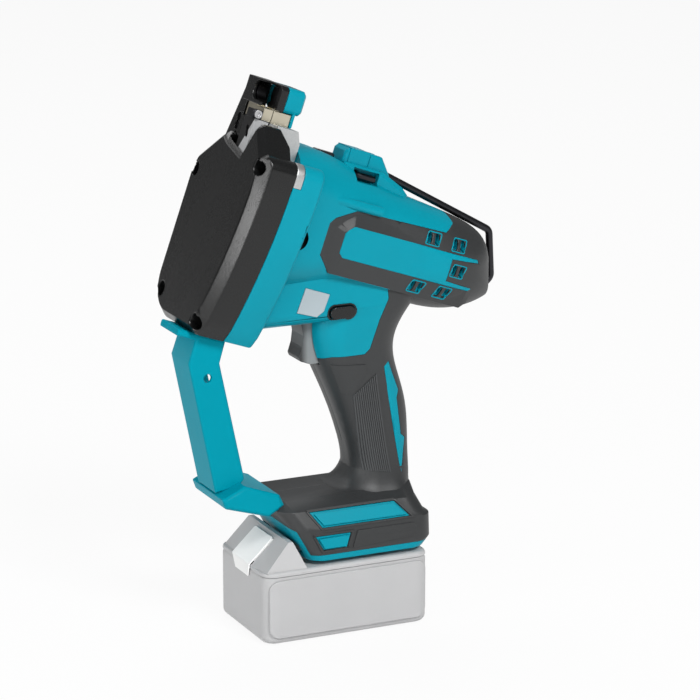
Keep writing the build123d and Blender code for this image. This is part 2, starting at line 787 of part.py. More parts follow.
def cam_outline(gap):
    """the cam's outline: the roller's way round the cam, drawn in by the roller's radius and a gap"""
    full, seen = roller_centre(cam_turn)
    rest = roller_centre(0)[0]
    drop_from = cam_turn - seen + 14
    drop = 60
    way = []
    for step in range(90):
        turn = 4 * step
        if turn <= cam_turn - seen:
            cam_angle = turn * cam_turn / (cam_turn - seen)
            far, at = roller_centre(cam_angle)
            angle = radians(at - cam_angle)
        else:
            lost = min(max((turn - drop_from) / drop, 0), 1)
            far = full + (rest - full) * (1 - cos(pi * lost)) / 2
            angle = radians(-turn)
        way.append((far * cos(angle), far * sin(angle)))
    points = []
    for index, (v, w) in enumerate(way):
        before = way[index - 1]
        after = way[(index + 1) % len(way)]
        run = (after[0] - before[0], after[1] - before[1])
        size = hypot(*run)
        points.append((v + run[1] / size * (roller_r + gap), w - run[0] / size * (roller_r + gap)))
    return points


with BuildPart() as camshaft:
    cylinder_along_u(cam_v, cam_w, camshaft_r, cam_plane, motor_room - 0.2)
    with BuildSketch(head.offset(cam_plane)):
        with Locations((cam_v, cam_w)):
            Polygon(*cam_outline(slip), align=None)
    extrude(amount=roller_wide)
save(camshaft, "camshaft")

# Lever with its pivot pin, roller and roller pin
with BuildPart() as swing_lever:
    with BuildSketch(head.offset(lever_front)):
        with Locations((0, pivot_w)):
            Circle(lever_boss)
        with Locations((roller_v, roller_w)):
            Circle(lever_end)
        make_hull()
        with Locations((-3.5, (pivot_w + die_base_low) / 2)):
            Rectangle(15, die_base_low - pivot_w)
        with Locations((0, pivot_w)):
            Circle(pivot_r + running, mode=cut)
        with Locations((roller_v, roller_w)):
            Circle(roller_pin_r + running, mode=cut)
        with Locations((-5, die_base_low - 9)):
            SlotOverall(8, 3.4, rotation=70, mode=cut)
        with Locations((8.5, -12)):
            SlotOverall(26, 8, rotation=-75, mode=cut)
    extrude(amount=lever_thick)
save(swing_lever, "swing_lever")

with BuildPart() as pivot_pin:
    cylinder_along_u(0, pivot_w, pivot_r, lever_front - 0.3, plate_thick - 0.2)
    chamfer(pivot_pin.edges().filter_by(GeomType.CIRCLE), 0.6)
save(pivot_pin, "pivot_pin")

with BuildPart() as lever_roller:
    cylinder_along_u(roller_v, roller_w, roller_r, cam_plane, cam_plane + roller_wide)
    roller_to = cam_plane + roller_wide
    cylinder_along_u(roller_v, roller_w, roller_pin_r + running, cam_plane, roller_to, mode=cut)
save(lever_roller, "lever_roller")

with BuildPart() as roller_pin:
    cylinder_along_u(roller_v, roller_w, roller_pin_r, lever_front + 0.2, cam_plane + roller_wide + 0.2)
save(roller_pin, "roller_pin")

# Spring that brings the lever back, between the lever's end and the cover's far wall
spring_wire = 0.6
spring_mean = 3.8
spring_turns = 5
spring_from = roller_v + lever_end + 0.3
spring_long = cover_far - cover_wall - 0.3 - spring_from - 2 * spring_wire
spring_seat = on_head((lever_front + lever_rear) / 2, spring_from + spring_wire, roller_w)
with BuildPart() as return_spring:
    with BuildLine() as coil:
        Helix(spring_long / spring_turns, spring_long, spring_mean, center=spring_seat, direction=(0, 1, 0))
    with BuildSketch(Plane(origin=coil.line @ 0, z_dir=coil.line % 0)):
        Circle(spring_wire)
    sweep()
save(return_spring, "return_spring")

# Dies: L-shaped blocks with a half-round groove, one on the lever and one on the neck
movable_die_at = shear_plane - slip / 2 - movable_die_wide
fixed_die_at = shear_plane + slip / 2
guide_at = fixed_die_at + 5.3
with BuildPart() as movable_die:
    movable_die_to = movable_die_at + movable_die_wide
    block_on_head(movable_die_at, movable_die_to, die_near, die_far, die_base_low, die_base_top)
    block_on_head(movable_die_at, movable_die_to, die_gap, die_far, die_base_top - 1, movable_die_top)
    cylinder_along_u(0, rod_w, rod_r, -far_away, far_away, mode=cut)
save(movable_die, "movable_die")

with BuildPart() as fixed_die:
    fixed_die_to = fixed_die_at + fixed_die_wide
    block_on_head(fixed_die_at, fixed_die_to, die_near, die_far, die_base_low, die_base_top)
    block_on_head(fixed_die_at, guide_at - 0.2, -die_grip, -die_gap, die_base_top - 1, die_top)
    cylinder_along_u(0, rod_w, rod_r, -far_away, far_away, mode=cut)
save(fixed_die, "fixed_die")

clamp_top = die_base_top - 2.2
clamp_from = lever_front - 3.2
clamp_wide = 8.0
bolt_u = (clamp_from + movable_die_at) / 2
bolt_w = (die_base_low + clamp_top) / 2 + 0.2
with BuildPart() as die_clamp:
    block_on_head(clamp_from, movable_die_at - 0.1, die_near, die_near + clamp_wide, die_base_low, clamp_top)
    with BuildSketch(head_side.offset(-die_near)):
        with Locations((bolt_u, bolt_w)):
            Circle(2)
    extrude(amount=-clamp_wide, mode=cut)
save(die_clamp, "die_clamp")

with BuildPart() as die_bolt:
    with BuildSketch(head_side.offset(-die_near)):
        with Locations((bolt_u, bolt_w)):
            Circle(2.5)
            RegularPolygon(1.5, 6, mode=cut)
    extrude(amount=1.8)
    with BuildSketch(head_side.offset(-die_near)):
        with Locations((bolt_u, bolt_w)):
            Circle(1.9)
    extrude(amount=0.5 - clamp_wide)
    with BuildSketch(head_side.offset(-die_near)):
        with Locations((bolt_u, bolt_w)):
            Circle(2.3)
    extrude(amount=0.6)
save(die_bolt, "die_bolt")

# Rod holder on the far side of the dies, and the guide behind them
holder_near = die_far + 2.5
holder_front = movable_die_at - 2.8
wall_rear = movable_die_at - 0.4
wall_far = 17.0
tower_near = 7.0
tower_low_far = 31.0
tower_top_far = 20.5
holder_top = rod_w + 7.0
holder_bevel = 2.4
holder_roof = 1.6
holder_low = die_base_top + 0.7
holder_rear = guide_at - 0.2
guide_half = 14.0
guide_long = 12.5
holder_screw_places = [(18.5, 45.0), (18.5, 50.5)]
with BuildPart() as rod_holder:
    with BuildSketch(head.offset(wall_rear)):
        with BuildLine():
            Polyline(
                (holder_near, die_base_low - 1), (tower_near, die_base_low - 1), (tower_near, notch_w + 5.6),
                (9, notch_w + 5.6), (18, notch_w + 9.6), (tower_low_far, notch_w + 0.4),
                (tower_top_far, holder_top - 1.6), (tower_top_far - 1.6, holder_top),
                (holder_near, holder_top), close=True,
            )
        make_face()
    extrude(amount=shear_plane - wall_rear)
    block_on_head(holder_front, wall_rear, 0, wall_far, holder_low, holder_top)
    block_on_head(holder_front, wall_rear, -8, 0, holder_low, holder_low + 2.3)
    block_on_head(wall_rear, shear_plane + 0.3, 0, wall_far, holder_top - holder_roof, holder_top)
    block_on_head(wall_rear, shear_plane + 0.3, holder_near, tower_top_far - 1.6, holder_low, holder_top)
    with BuildSketch(head.offset(shear_plane + 0.2)):
        with BuildLine():
            Polyline(
                (-guide_half, holder_low), (-guide_half, holder_top - holder_bevel),
                (holder_bevel - guide_half, holder_top), (tower_top_far - 1.6, holder_top),
                (tower_top_far, holder_top - 1.6), (tower_top_far + 3.6, holder_low), close=True,
            )
        make_face()
        with BuildLine():
            Polyline(
                (-die_grip - 0.3, holder_low), (-die_grip - 0.3, holder_top - holder_roof),
                (die_far + 0.5, holder_top - holder_roof), (die_far + 0.5, holder_low), close=True,
            )
        make_face(mode=cut)
    extrude(amount=holder_rear - shear_plane - 0.2)
    cylinder_along_u(0, rod_w, rod_r + 0.6, -far_away, far_away, mode=cut)
    for v, w in holder_screw_places:
        cylinder_along_u(v, w, 1.6, -cover_depth, 0, mode=cut)
        cylinder_along_u(v, w, 2.6, -cover_depth, shear_plane - 3, mode=cut)
save(rod_holder, "rod_holder")

with BuildPart() as holder_screws:
    for v, w in holder_screw_places:
        cylinder_along_u(v, w, 2.4, shear_plane - 5.4, shear_plane - 3)
        cylinder_along_u(v, w, 1.5, shear_plane - 3, shear_plane)
save(holder_screws, "holder_screws")

guide_foot = fixed_die_at + fixed_die_wide + 0.3
with BuildPart() as rod_guide:
    with BuildSketch(head.offset(guide_at)):
        with Locations((0, (die_base_top + 0.5 + holder_top) / 2)):
            RectangleRounded(2 * guide_half, holder_top - die_base_top - 0.5, 3.6)
    extrude(amount=guide_long)
    chamfer(rod_guide.faces().sort_by(Axis((0, 0, 0), along))[-1].edges(), 1.8)
    block_on_head(guide_foot, guide_foot + 1.6, 1 - guide_half, guide_half - 1, die_base_low, rod_w)
    cylinder_along_u(0, rod_w, guide_bore_r, -far_away, far_away, mode=cut)
save(rod_guide, "rod_guide")

# Motor
with BuildPart() as stator:
    cylinder_along_u(0, 0, stator_r, stator_from, stator_to)
    cylinder_along_u(0, 0, stator_bore, stator_from, stator_to, mode=cut)
    with BuildSketch(head.offset(stator_from)):
        with PolarLocations(stator_bore + 3.2, 6):
            Rectangle(8, 5)
    extrude(amount=stator_to - stator_from, mode=cut)
save(stator, "stator")

with BuildPart() as rotor_magnet:
    cylinder_along_u(0, 0, magnet_r, stator_from + 2, stator_to - 2)
    cylinder_along_u(0, 0, shaft_r + running, stator_from, stator_to, mode=cut)
save(rotor_magnet, "rotor_magnet")

with BuildPart() as fan:
    cylinder_along_u(0, 0, fan_r, fan_from, fan_from + 2)
    cylinder_along_u(0, 0, shaft_r + 3, fan_from, fan_from + fan_wide)
    with BuildSketch(head.offset(fan_from)):
        with PolarLocations((fan_r + shaft_r) / 2 + 1, 11):
            Rectangle(fan_r - shaft_r - 4, 1.4, rotation=18)
    extrude(amount=fan_wide)
    cylinder_along_u(0, 0, shaft_r + running, fan_from - 1, fan_from + fan_wide + 1, mode=cut)
save(fan, "fan")

with BuildPart() as front_bearing:
    cylinder_along_u(0, 0, bearing_r, gear_plate_at + 1, gear_plate_at + 1 + bearing_wide)
    cylinder_along_u(0, 0, shaft_r + running, gear_plate_at, gear_plate_at + 10, mode=cut)
save(front_bearing, "front_bearing")

with BuildPart() as rear_bearing:
    cylinder_along_u(0, 0, bearing_r, rear_bearing_from, rear_bearing_from + bearing_wide)
    cylinder_along_u(0, 0, shaft_r + running, fan_from, far_away, mode=cut)
save(rear_bearing, "rear_bearing")

# Trigger with its stem, switch, lock button and side plate
trigger_rear = switch_front - trigger_travel - 0.4
trigger_low = 169.4
stem_z = 184.0
stem_r = 2.5
with BuildPart() as trigger:
    with BuildSketch(Plane.XZ):
        with BuildLine():
            Polyline(
                (trigger_rear, 197.4), (-19.2, 197.4), (-17.4, 188), (-18.3, 181), (-20.5, 174.2),
                (-19.5, 171.8), (-13, trigger_low), (trigger_rear, trigger_low), close=True,
            )
        make_face()
        fillet(vertices().filter_by_position(Axis.X, -21, -17), 1.6)
    extrude(amount=trigger_half, both=True)
    with BuildSketch(Plane.YZ.offset(trigger_rear - 1)):
        with Locations((0, stem_z)):
            Circle(stem_r)
    extrude(amount=15)
save(trigger, "trigger")

with BuildPart() as switch:
    switch_rear = switch_front + switch_long
    block_on_row(switch_front + fit, switch_rear - fit, switch_half, switch_low + fit, switch_top - fit)
    with BuildSketch(Plane.YZ.offset(switch_front)):
        with Locations((0, stem_z)):
            Circle(stem_r + slip)
    extrude(amount=switch_long - 6, mode=cut)
save(switch, "switch")

with BuildPart() as lock_button:
    with BuildSketch(Plane.XZ):
        with Locations((lock_x, lock_z)):
            SlotOverall(lock_long, lock_high)
    extrude(amount=lock_reach, both=True)
    fillet(lock_button.faces().filter_by(Axis.Y).edges(), 0.8)
save(lock_button, "lock_button")

with BuildPart() as side_plate:
    with BuildSketch(Plane.XZ.offset(trigger_zone_half - 0.5)):
        Polygon(*side_plate_points, align=None)
    extrude(amount=1)
save(side_plate, "side_plate")

with BuildPart() as housing_screws:
    with BuildSketch(Plane.XZ.offset(-screw_head_y)):
        with Locations(*housing_screw_places):
            Circle(screw_head_r)
    extrude(amount=-2.4)
    with BuildSketch(Plane.XZ.offset(-screw_head_y - 2.4)):
        with Locations(*housing_screw_places):
            RegularPolygon(1.5, 6)
    extrude(amount=1.4, mode=cut)
    with BuildSketch(Plane.XZ.offset(-screw_head_y)):
        with Locations(*housing_screw_places):
            Circle(screw_shank_r - 0.1)
    extrude(amount=screw_head_y - screw_end_y - 0.5)
save(housing_screws, "housing_screws")

# Hook, its pin, the hex wrench and the lamp on top
hook_pivot = on_head(hook_pivot_u, 0, hook_pivot_w)
with BuildPart() as hook:
    with BuildLine() as wire:
        FilletPolyline(
            (hook_pivot.X, 0, hook_pivot.Z), (hook_bend_x - 1.5, 0, hook_bend_z),
            (hook_bend_x, 0, hook_tip_z + 6.5), (hook_tip_x, 0, hook_tip_z), radius=5,
        )
    with BuildSketch(Plane(origin=wire.line @ 0, z_dir=wire.line % 0)):
        Circle(hook_wire)
    sweep()
    with BuildSketch(head_side):
        with Locations((hook_pivot_u, hook_pivot_w)):
            Circle(hook_pin_r + 2.8)
    extrude(amount=hook_wire, both=True)
    with BuildSketch(head_side):
        with Locations((hook_pivot_u, hook_pivot_w)):
            Circle(hook_pin_r + running)
    extrude(amount=20, both=True, mode=cut)
save(hook, "hook")

with BuildPart() as hook_pin:
    with BuildSketch(head_side):
        with Locations((hook_pivot_u, hook_pivot_w)):
            Circle(hook_pin_r)
    extrude(amount=bump_half - 2.2, both=True)
save(hook_pin, "hook_pin")

with BuildPart() as hex_wrench:
    with BuildLine() as bar:
        FilletPolyline(
            on_head(wrench_to, wrench_v, wrench_w), on_head(wrench_u, wrench_v, wrench_w),
            on_head(wrench_u, wrench_end, wrench_w), radius=4.5,
        )
    with BuildSketch(Plane(origin=bar.line @ 0, z_dir=bar.line % 0, x_dir=upward)):
        RegularPolygon(wrench_flats / 2, 6, major_radius=False)
    sweep()
save(hex_wrench, "hex_wrench")

with BuildPart() as lamp:
    with BuildSketch(Plane(origin=on_head(lamp_u, 0, lamp_low), x_dir=along, z_dir=upward)):
        SlotOverall(lamp_long, lamp_wide)
    extrude(amount=lamp_high)
    fillet(lamp.faces().sort_by(Axis((0, 0, 0), upward))[-1].edges(), 1.4)
save(lamp, "lamp")

# Guard arm from the cover's bottom down to the foot's nose
tongue_front = on_head(-27.4, 0, -cover_low - 0.2)
tongue_low = on_head(-27.4, 0, -cover_low - 4.6)
tongue_root = on_head(-14.4, 0, -cover_low - 4.6)
arm_top_rear = on_head(5, 0, -cover_low - 0.2)
shoe = [(-79.3, 94.6), (-64, 101.5), (-41, 93), (-38, 86), (-48, 79.5), (-77, 88.3)]
with BuildPart() as foot_form:
    foot(-fit)
with BuildPart() as shoe_form:
    with BuildSketch(Plane.XZ):
        Polygon(*shoe, align=None)
    extrude(amount=shoe_half, both=True)
    chamfer(shoe_form.faces().filter_by(Axis.Y).edges(), 1.8)
with BuildPart() as front_guard:
    with BuildSketch(Plane.XZ):
        with BuildLine():
            Polyline(
                (tongue_front.X, tongue_front.Z), (arm_top_rear.X, arm_top_rear.Z), (-75.6, 178.4),
                (-59.9, 103.2), (-64, 98), (-79.4, 96), (-96.2, 180.4), (tongue_root.X, tongue_root.Z),
                (tongue_low.X, tongue_low.Z), close=True,
            )
        make_face()
    extrude(amount=guard_half, both=True)
    chamfer(front_guard.faces().filter_by(Axis.Y).edges(), 1.2)
    with BuildSketch(Plane.XZ):
        with BuildLine():
            Polyline(
                (-66, 184.4), (-66, 170), (-52, 103), (-66, 104.5), (-77.4, 106), (-93, 180.2),
                (-88.6, 192.4), close=True,
            )
        make_face()
    extrude(amount=guard_half - guard_wall, both=True, mode=cut)
    add(shoe_form.part)
    add(foot_form.part, mode=cut)
    with BuildSketch(Plane.XZ):
        with Locations((strap_hole_x, strap_hole_z)):
            Circle(strap_hole_r)
    extrude(amount=40, both=True, mode=cut)
    with BuildSketch(guard_face):
        with Locations(*guard_screw_places):
            Circle(1.6)
    extrude(amount=-10, mode=cut)
    with BuildSketch(guard_face.offset(guard_screw_seat)):
        with Locations(*guard_screw_places):
            Circle(3.1)
    extrude(amount=-10, mode=cut)
save(front_guard, "front_guard")

with BuildPart() as guard_screws:
    with BuildSketch(guard_face.offset(guard_screw_seat - 2)):
        with Locations(*guard_screw_places):
            Circle(2.8)
    extrude(amount=2)
    with BuildSketch(guard_face.offset(guard_screw_seat)):
        with Locations(*guard_screw_places):
            Circle(1.5)
    extrude(amount=0.2 - guard_screw_seat + cover_wall - 0.6)
save(guard_screws, "guard_screws")

# Controller, terminal block and its two blades in the foot
with BuildPart() as controller:
    block_on_row(-17.5, 47.5, 26.5, 62.8, 64.6)
    block_on_row(-12, 18, 19, 64.6, 69.4)
    block_on_row(34, 44, 8, 64.6, 69)
save(controller, "controller")

blade_y = 9.0
blade_thick = 1.0
with BuildPart() as terminal_block:
    block_on_row(28 + fit, 46 - fit, 15, 60.2, 62.6)
save(terminal_block, "terminal_block")

with BuildPart() as terminal_blades:
    with BuildSketch(Plane.XY.offset(rail_head_low + 1)):
        with Locations((37, -blade_y), (37, blade_y)):
            Rectangle(16, blade_thick)
    extrude(amount=60.2 - rail_head_low - 1)
save(terminal_blades, "terminal_blades")

# Battery
with BuildPart() as battery_case:
    with BuildSketch():
        RectangleRounded(pack_long, 2 * pack_half, pack_corner)
    extrude(amount=case_high)
    fillet(battery_case.faces().sort_by(Axis.Z)[0].edges(), 4)
    with BuildSketch(Plane.XY.offset(pack_wall)):
        RectangleRounded(pack_long - 2 * pack_wall, 2 * (pack_half - pack_wall), pack_corner - pack_wall)
    extrude(amount=case_high, mode=cut)
save(battery_case, "battery_case")

cell_step = 2 * cell_r + 0.4
with BuildPart() as battery_cells:
    with BuildSketch(Plane.XZ):
        with Locations((0, pack_wall + 0.4 + cell_r + cell_step / 2)):
            with GridLocations(cell_step, cell_step, 5, 2):
                Circle(cell_r)
    extrude(amount=cell_long / 2, both=True)
save(battery_cells, "battery_cells")

slope_low = Vector(-pack_long / 2, 0, pack_top - 1)
slope_high = Vector(18.5 - pack_long / 2, 0, hump_top)
slope_run = (slope_high - slope_low).normalized()
slope = Plane(
    origin=(slope_low + slope_high) / 2, x_dir=(0, 1, 0), z_dir=(-slope_run.Z, 0, slope_run.X),
)
pocket_deep = 3.4
groove_half = 2.6
with BuildPart() as battery_lid:
    with BuildSketch(Plane.XY.offset(case_high)):
        RectangleRounded(pack_long, 2 * pack_half, pack_corner)
    extrude(amount=lid_high)
    fillet(battery_lid.faces().sort_by(Axis.Z)[-1].edges(), lid_high - 0.6)
    with BuildSketch(Plane.XY.offset(slope_low.Z)):
        with Locations(((slope_low.X - 27) / 2, 0)):
            Rectangle(-27 - slope_low.X, 2 * hump_half)
    with BuildSketch(Plane.XY.offset(hump_top)):
        with Locations((slope_high.X + 1.5, 0)):
            Rectangle(3, 2 * hump_top_half)
    loft(ruled=True)
    block_on_row(rail_front, rail_rear, rail_half, pack_top - 1, rail_head_low + 1)
    block_on_row(rail_front, rail_rear, rail_head_half, rail_head_low, rail_head_low + rail_head_high)
    with BuildSketch(Plane.XY.offset(rail_head_low)):
        with Locations((34, -blade_y), (34, blade_y)):
            Rectangle(28, blade_thick + 2.4)
    extrude(amount=rail_head_high, mode=cut)
    with BuildSketch(slope.offset(-pocket_deep)):
        with Locations((0, button_travel / 2)):
            Rectangle(2 * (button_half + slip), button_long + 2 * slip + button_travel)
    extrude(amount=10, mode=cut)
    with BuildSketch(slope.offset(-pocket_deep - 2 * groove_half)):
        with Locations((0, 2.5)):
            Rectangle(2 * groove_half, 13)
    extrude(amount=2 * groove_half, mode=cut)
save(battery_lid, "battery_lid")

with BuildPart() as battery_contacts:
    with BuildSketch(Plane.XY.offset(rail_head_low)):
        with Locations((34, -blade_y), (34, blade_y)):
            Rectangle(20, blade_thick + 1.8)
    extrude(amount=rail_head_high - 0.6)
    with BuildSketch(Plane.XY.offset(rail_head_low + 0.5)):
        with Locations((34, -blade_y), (34, blade_y)):
            Rectangle(21, blade_thick + 0.6)
    extrude(amount=rail_head_high, mode=cut)
save(battery_contacts, "battery_contacts")

with BuildPart() as release_button:
    with BuildSketch(slope.offset(slip - pocket_deep)):
        Rectangle(2 * button_half, button_long)
    extrude(amount=button_thick)
    fillet(release_button.faces().sort_by(Axis((0, 0, 0), slope.z_dir))[-1].edges(), 0.8)
    with BuildSketch(slope.offset(slip - pocket_deep)):
        with Locations((0, -2.2)):
            Rectangle(4, 2.4)
    extrude(amount=0.6 - 2 * groove_half)
save(release_button, "release_button")

coil_from = slope.from_local_coords(Vector(0, -0.2, -pocket_deep - groove_half))
with BuildPart() as button_spring:
    with BuildLine() as turns:
        Helix(1.6, 8, 1.7, center=coil_from, direction=-slope_run)
    with BuildSketch(Plane(origin=turns.line @ 0, z_dir=turns.line % 0)):
        Circle(0.35)
    sweep()
save(button_spring, "button_spring")
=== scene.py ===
import json
from math import atan2, cos, pi, radians, sin

import bmesh
import bpy
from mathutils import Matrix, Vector


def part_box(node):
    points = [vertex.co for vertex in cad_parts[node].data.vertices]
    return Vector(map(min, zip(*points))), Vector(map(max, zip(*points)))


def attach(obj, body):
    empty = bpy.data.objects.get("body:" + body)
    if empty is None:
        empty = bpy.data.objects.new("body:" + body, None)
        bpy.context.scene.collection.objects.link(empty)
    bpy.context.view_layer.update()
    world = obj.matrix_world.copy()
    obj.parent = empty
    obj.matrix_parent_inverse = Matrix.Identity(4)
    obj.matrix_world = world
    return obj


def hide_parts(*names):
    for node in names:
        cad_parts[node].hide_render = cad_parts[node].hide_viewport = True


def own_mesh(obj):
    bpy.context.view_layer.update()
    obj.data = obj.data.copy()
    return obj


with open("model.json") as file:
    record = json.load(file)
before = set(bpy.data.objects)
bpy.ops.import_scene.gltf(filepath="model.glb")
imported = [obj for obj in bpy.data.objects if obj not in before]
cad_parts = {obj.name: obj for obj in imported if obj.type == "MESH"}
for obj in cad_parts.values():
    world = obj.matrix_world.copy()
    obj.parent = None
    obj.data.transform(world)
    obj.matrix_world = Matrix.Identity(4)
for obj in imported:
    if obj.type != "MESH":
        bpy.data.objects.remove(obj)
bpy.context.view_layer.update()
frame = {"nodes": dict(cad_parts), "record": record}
nodes = frame["nodes"]
record = frame["record"]
slot_of = {part["node"]: part["material_slot"] for part in record["subparts"]}
body_of = {node: body for body, members in record["behaviour"]["bodies"].items() for node in members}

MM = 0.001
LENGTH = Vector((1, 0, 0))
HEIGHT = Vector((0, 0, 1))

# The head's own frame: u rearward along the motor axis, v to the right, w up
TILT = radians(19.5)
HEAD = Vector((-49.1, 0, 270.5)) * MM
ALONG = Vector((cos(TILT), 0, -sin(TILT)))
RIGHT = Vector((0, 1, 0))
UPWARD = Vector((sin(TILT), 0, cos(TILT)))


def on_head(u, v, w):
    """a place on the head, given in millimetres"""
    return HEAD + (ALONG * u + RIGHT * v + UPWARD * w) * MM


def on_row(x, y, z):
    """a place on the handle, foot or battery, or a move, given in millimetres"""
    return Vector((x, y, z)) * MM


class Wire:
    """A socket of a material's node tree that takes arithmetic."""

    def __init__(self, tree, socket):
        self.tree = tree
        self.socket = socket

    def math(self, operation, other, swapped=False):
        node = self.tree.nodes.new("ShaderNodeMath")
        node.operation = operation
        first, second = (1, 0) if swapped else (0, 1)
        self.tree.links.new(self.socket, node.inputs[first])
        if isinstance(other, Wire):
            self.tree.links.new(other.socket, node.inputs[second])
        else:
            node.inputs[second].default_value = other
        return Wire(self.tree, node.outputs[0])

    def __add__(self, other):
        return self.math("ADD", other)

    __radd__ = __add__

    def __sub__(self, other):
        return self.math("SUBTRACT", other)

    def __rsub__(self, other):
        return self.math("SUBTRACT", other, swapped=True)

    def __mul__(self, other):
        return self.math("MULTIPLY", other)

    __rmul__ = __mul__

    def maximum(self, other):
        return self.math("MAXIMUM", other)


class Finish:
    """A material under construction: its node tree and its principled shader."""

    def __init__(self, name):
        self.material = bpy.data.materials.new(name)
        self.material.use_nodes = True
        self.tree = self.material.node_tree
        self.shader = self.tree.nodes["Principled BSDF"]
        self.place = self.node("ShaderNodeTexCoord", out="Object")

    def node(self, kind, settings=None, sockets=None, out=0):
        """a new node with its settings, and its sockets fed with values or links"""
        made = self.tree.nodes.new(kind)
        for key, value in (settings or {}).items():
            if key == "stops":
                ramp = made.color_ramp
                while len(ramp.elements) < len(value):
                    ramp.elements.new(0.5)
                for element, (position, colour) in zip(ramp.elements, value):
                    element.position = position
                    element.color = (*colour, 1)
            else:
                setattr(made, key, value)
        for key, value in (sockets or {}).items():
            self.feed(made.inputs[key], value)
        return Wire(self.tree, made.outputs[out])

    def feed(self, socket, value):
        if isinstance(value, Wire):
            self.tree.links.new(value.socket, socket)
        elif isinstance(value, tuple) and len(value) == 3 and socket.type == "RGBA":
            socket.default_value = (*value, 1)
        else:
            socket.default_value = value

    def set(self, **values):
        """values of the principled shader, spaces in their names written as underscores"""
        for key, value in values.items():
            self.feed(self.shader.inputs[key.replace("_", " ")], value)

    def noise(self, scale, detail, roughness=0.55):
        """uneven grey, its scale in waves per metre"""
        return self.node("ShaderNodeTexNoise", {}, {
            "Vector": self.place, "Scale": scale, "Detail": detail, "Roughness": roughness,
        })

    def mix(self, factor, first, second):
        """a colour between two colours"""
        return self.node("ShaderNodeMix", {"data_type": "RGBA"}, {0: factor, 6: first, 7: second}, out=2)

    def bump(self, height, strength, distance):
        """a normal that follows a height, its distance in metres"""
        return self.node("ShaderNodeBump", {}, {
            "Height": height, "Strength": strength, "Distance": distance,
        })

    def vector(self, operation, first, second, out="Vector"):
        """vector maths with a fixed place or direction"""
        sockets = {0: first, 1: tuple(second)}
        return self.node("ShaderNodeVectorMath", {"operation": operation}, sockets, out)

    def along(self, direction):
        """how far along a direction a point of the surface lies"""
        return self.vector("DOT_PRODUCT", self.place, direction, out="Value")

    def from_axis(self, middle, direction):
        """how far from an axis a point of the surface lies"""
        across = self.vector("CROSS_PRODUCT", self.vector("SUBTRACT", self.place, middle), direction)
        return self.node("ShaderNodeVectorMath", {"operation": "LENGTH"}, {0: across}, out="Value")

    def fade(self, value, start, width):
        """0 up to a start and 1 beyond it, the width of the change given in millimetres"""
        return self.node("ShaderNodeMapRange", {}, {
            "Value": value, "From Min": start, "From Max": start + width * MM,
        })


def shade(colour, factor):
    """a colour made darker or lighter"""
    return tuple(min(1.0, part * factor) for part in colour)


PLASTIC_GRAIN = 2600.0
PLASTIC_DEPTH = 0.06 * MM


def moulded(name, colour, roughness, grain=PLASTIC_GRAIN, depth=PLASTIC_DEPTH, gloss=0.3):
    """moulded plastic: fine spark-eroded grain, slow drift in colour and gloss, a few dull rubs"""
    finish = Finish(name)
    drift = finish.noise(scale=34.0, detail=4.0)
    grit = finish.noise(scale=grain, detail=2.0, roughness=0.6)
    patches = finish.noise(scale=75.0, detail=6.0, roughness=0.7)
    rub = finish.node(
        "ShaderNodeValToRGB", {"stops": [(0.60, (0, 0, 0)), (0.80, (1, 1, 1))]}, {"Fac": patches}
    )
    finish.set(
        Base_Color=finish.mix(drift, shade(colour, 0.95), shade(colour, 1.05)),
        Roughness=roughness - 0.06 + drift * 0.07 + grit * 0.05 + rub * 0.05,
        Normal=finish.bump(grit, strength=0.35, distance=depth),
        Specular_IOR_Level=gloss,
    )
    return finish.material


def shaded_front_grey(name, front_shade, lit_colour):
    """moulded plastic with painted shade: darker on the face that a finger pulls, for the shadow that lies on
    it
    """
    shade_x, lit_x = -19.0, -14.5
    finish = Finish(name)
    grit = finish.noise(scale=PLASTIC_GRAIN, detail=2.0, roughness=0.6)
    # painted shade: the colour runs from the shaded front to the lit colour behind it
    behind = finish.fade(finish.along(LENGTH), shade_x * MM, width=lit_x - shade_x)
    finish.set(
        Base_Color=finish.mix(behind, front_shade, lit_colour),
        Roughness=0.42 + grit * 0.06,
        Normal=finish.bump(grit, strength=0.35, distance=PLASTIC_DEPTH),
    )
    return finish.material


def shaded_bore(name, colour, bore_shade, middle, direction, radius, front=None):
    """moulded plastic with painted shade: dark inside a bore, as far as it lies behind a front"""
    finish = Finish(name)
    drift = finish.noise(scale=34.0, detail=4.0)
    grit = finish.noise(scale=PLASTIC_GRAIN, detail=2.0, roughness=0.6)
    outside = finish.fade(finish.from_axis(middle, direction), radius * MM, width=0.2)
    if front is not None:
        behind = finish.fade(finish.along(ALONG), front.dot(ALONG), width=0.05)
        outside = outside.maximum(1 - behind)
    plain = finish.mix(drift, shade(colour, 0.95), shade(colour, 1.05))
    finish.set(
        Base_Color=finish.mix(outside, bore_shade, plain),
        Roughness=0.27 + drift * 0.07 + grit * 0.05,
        Normal=finish.bump(grit, strength=0.35, distance=PLASTIC_DEPTH),
        Specular_IOR_Level=0.14,
    )
    return finish.material


def soft_skin(name, colour):
    """overmoulded rubber: dense matt grain with faint rubbed patches"""
    finish = Finish(name)
    drift = finish.noise(scale=30.0, detail=5.0)
    grit = finish.noise(scale=3400.0, detail=2.0, roughness=0.7)
    finish.set(
        Base_Color=finish.mix(drift, shade(colour, 0.85), shade(colour, 1.2)),
        Roughness=0.36 + drift * 0.12 + grit * 0.08,
        Normal=finish.bump(grit, strength=0.5, distance=0.08 * MM),
    )
    return finish.material


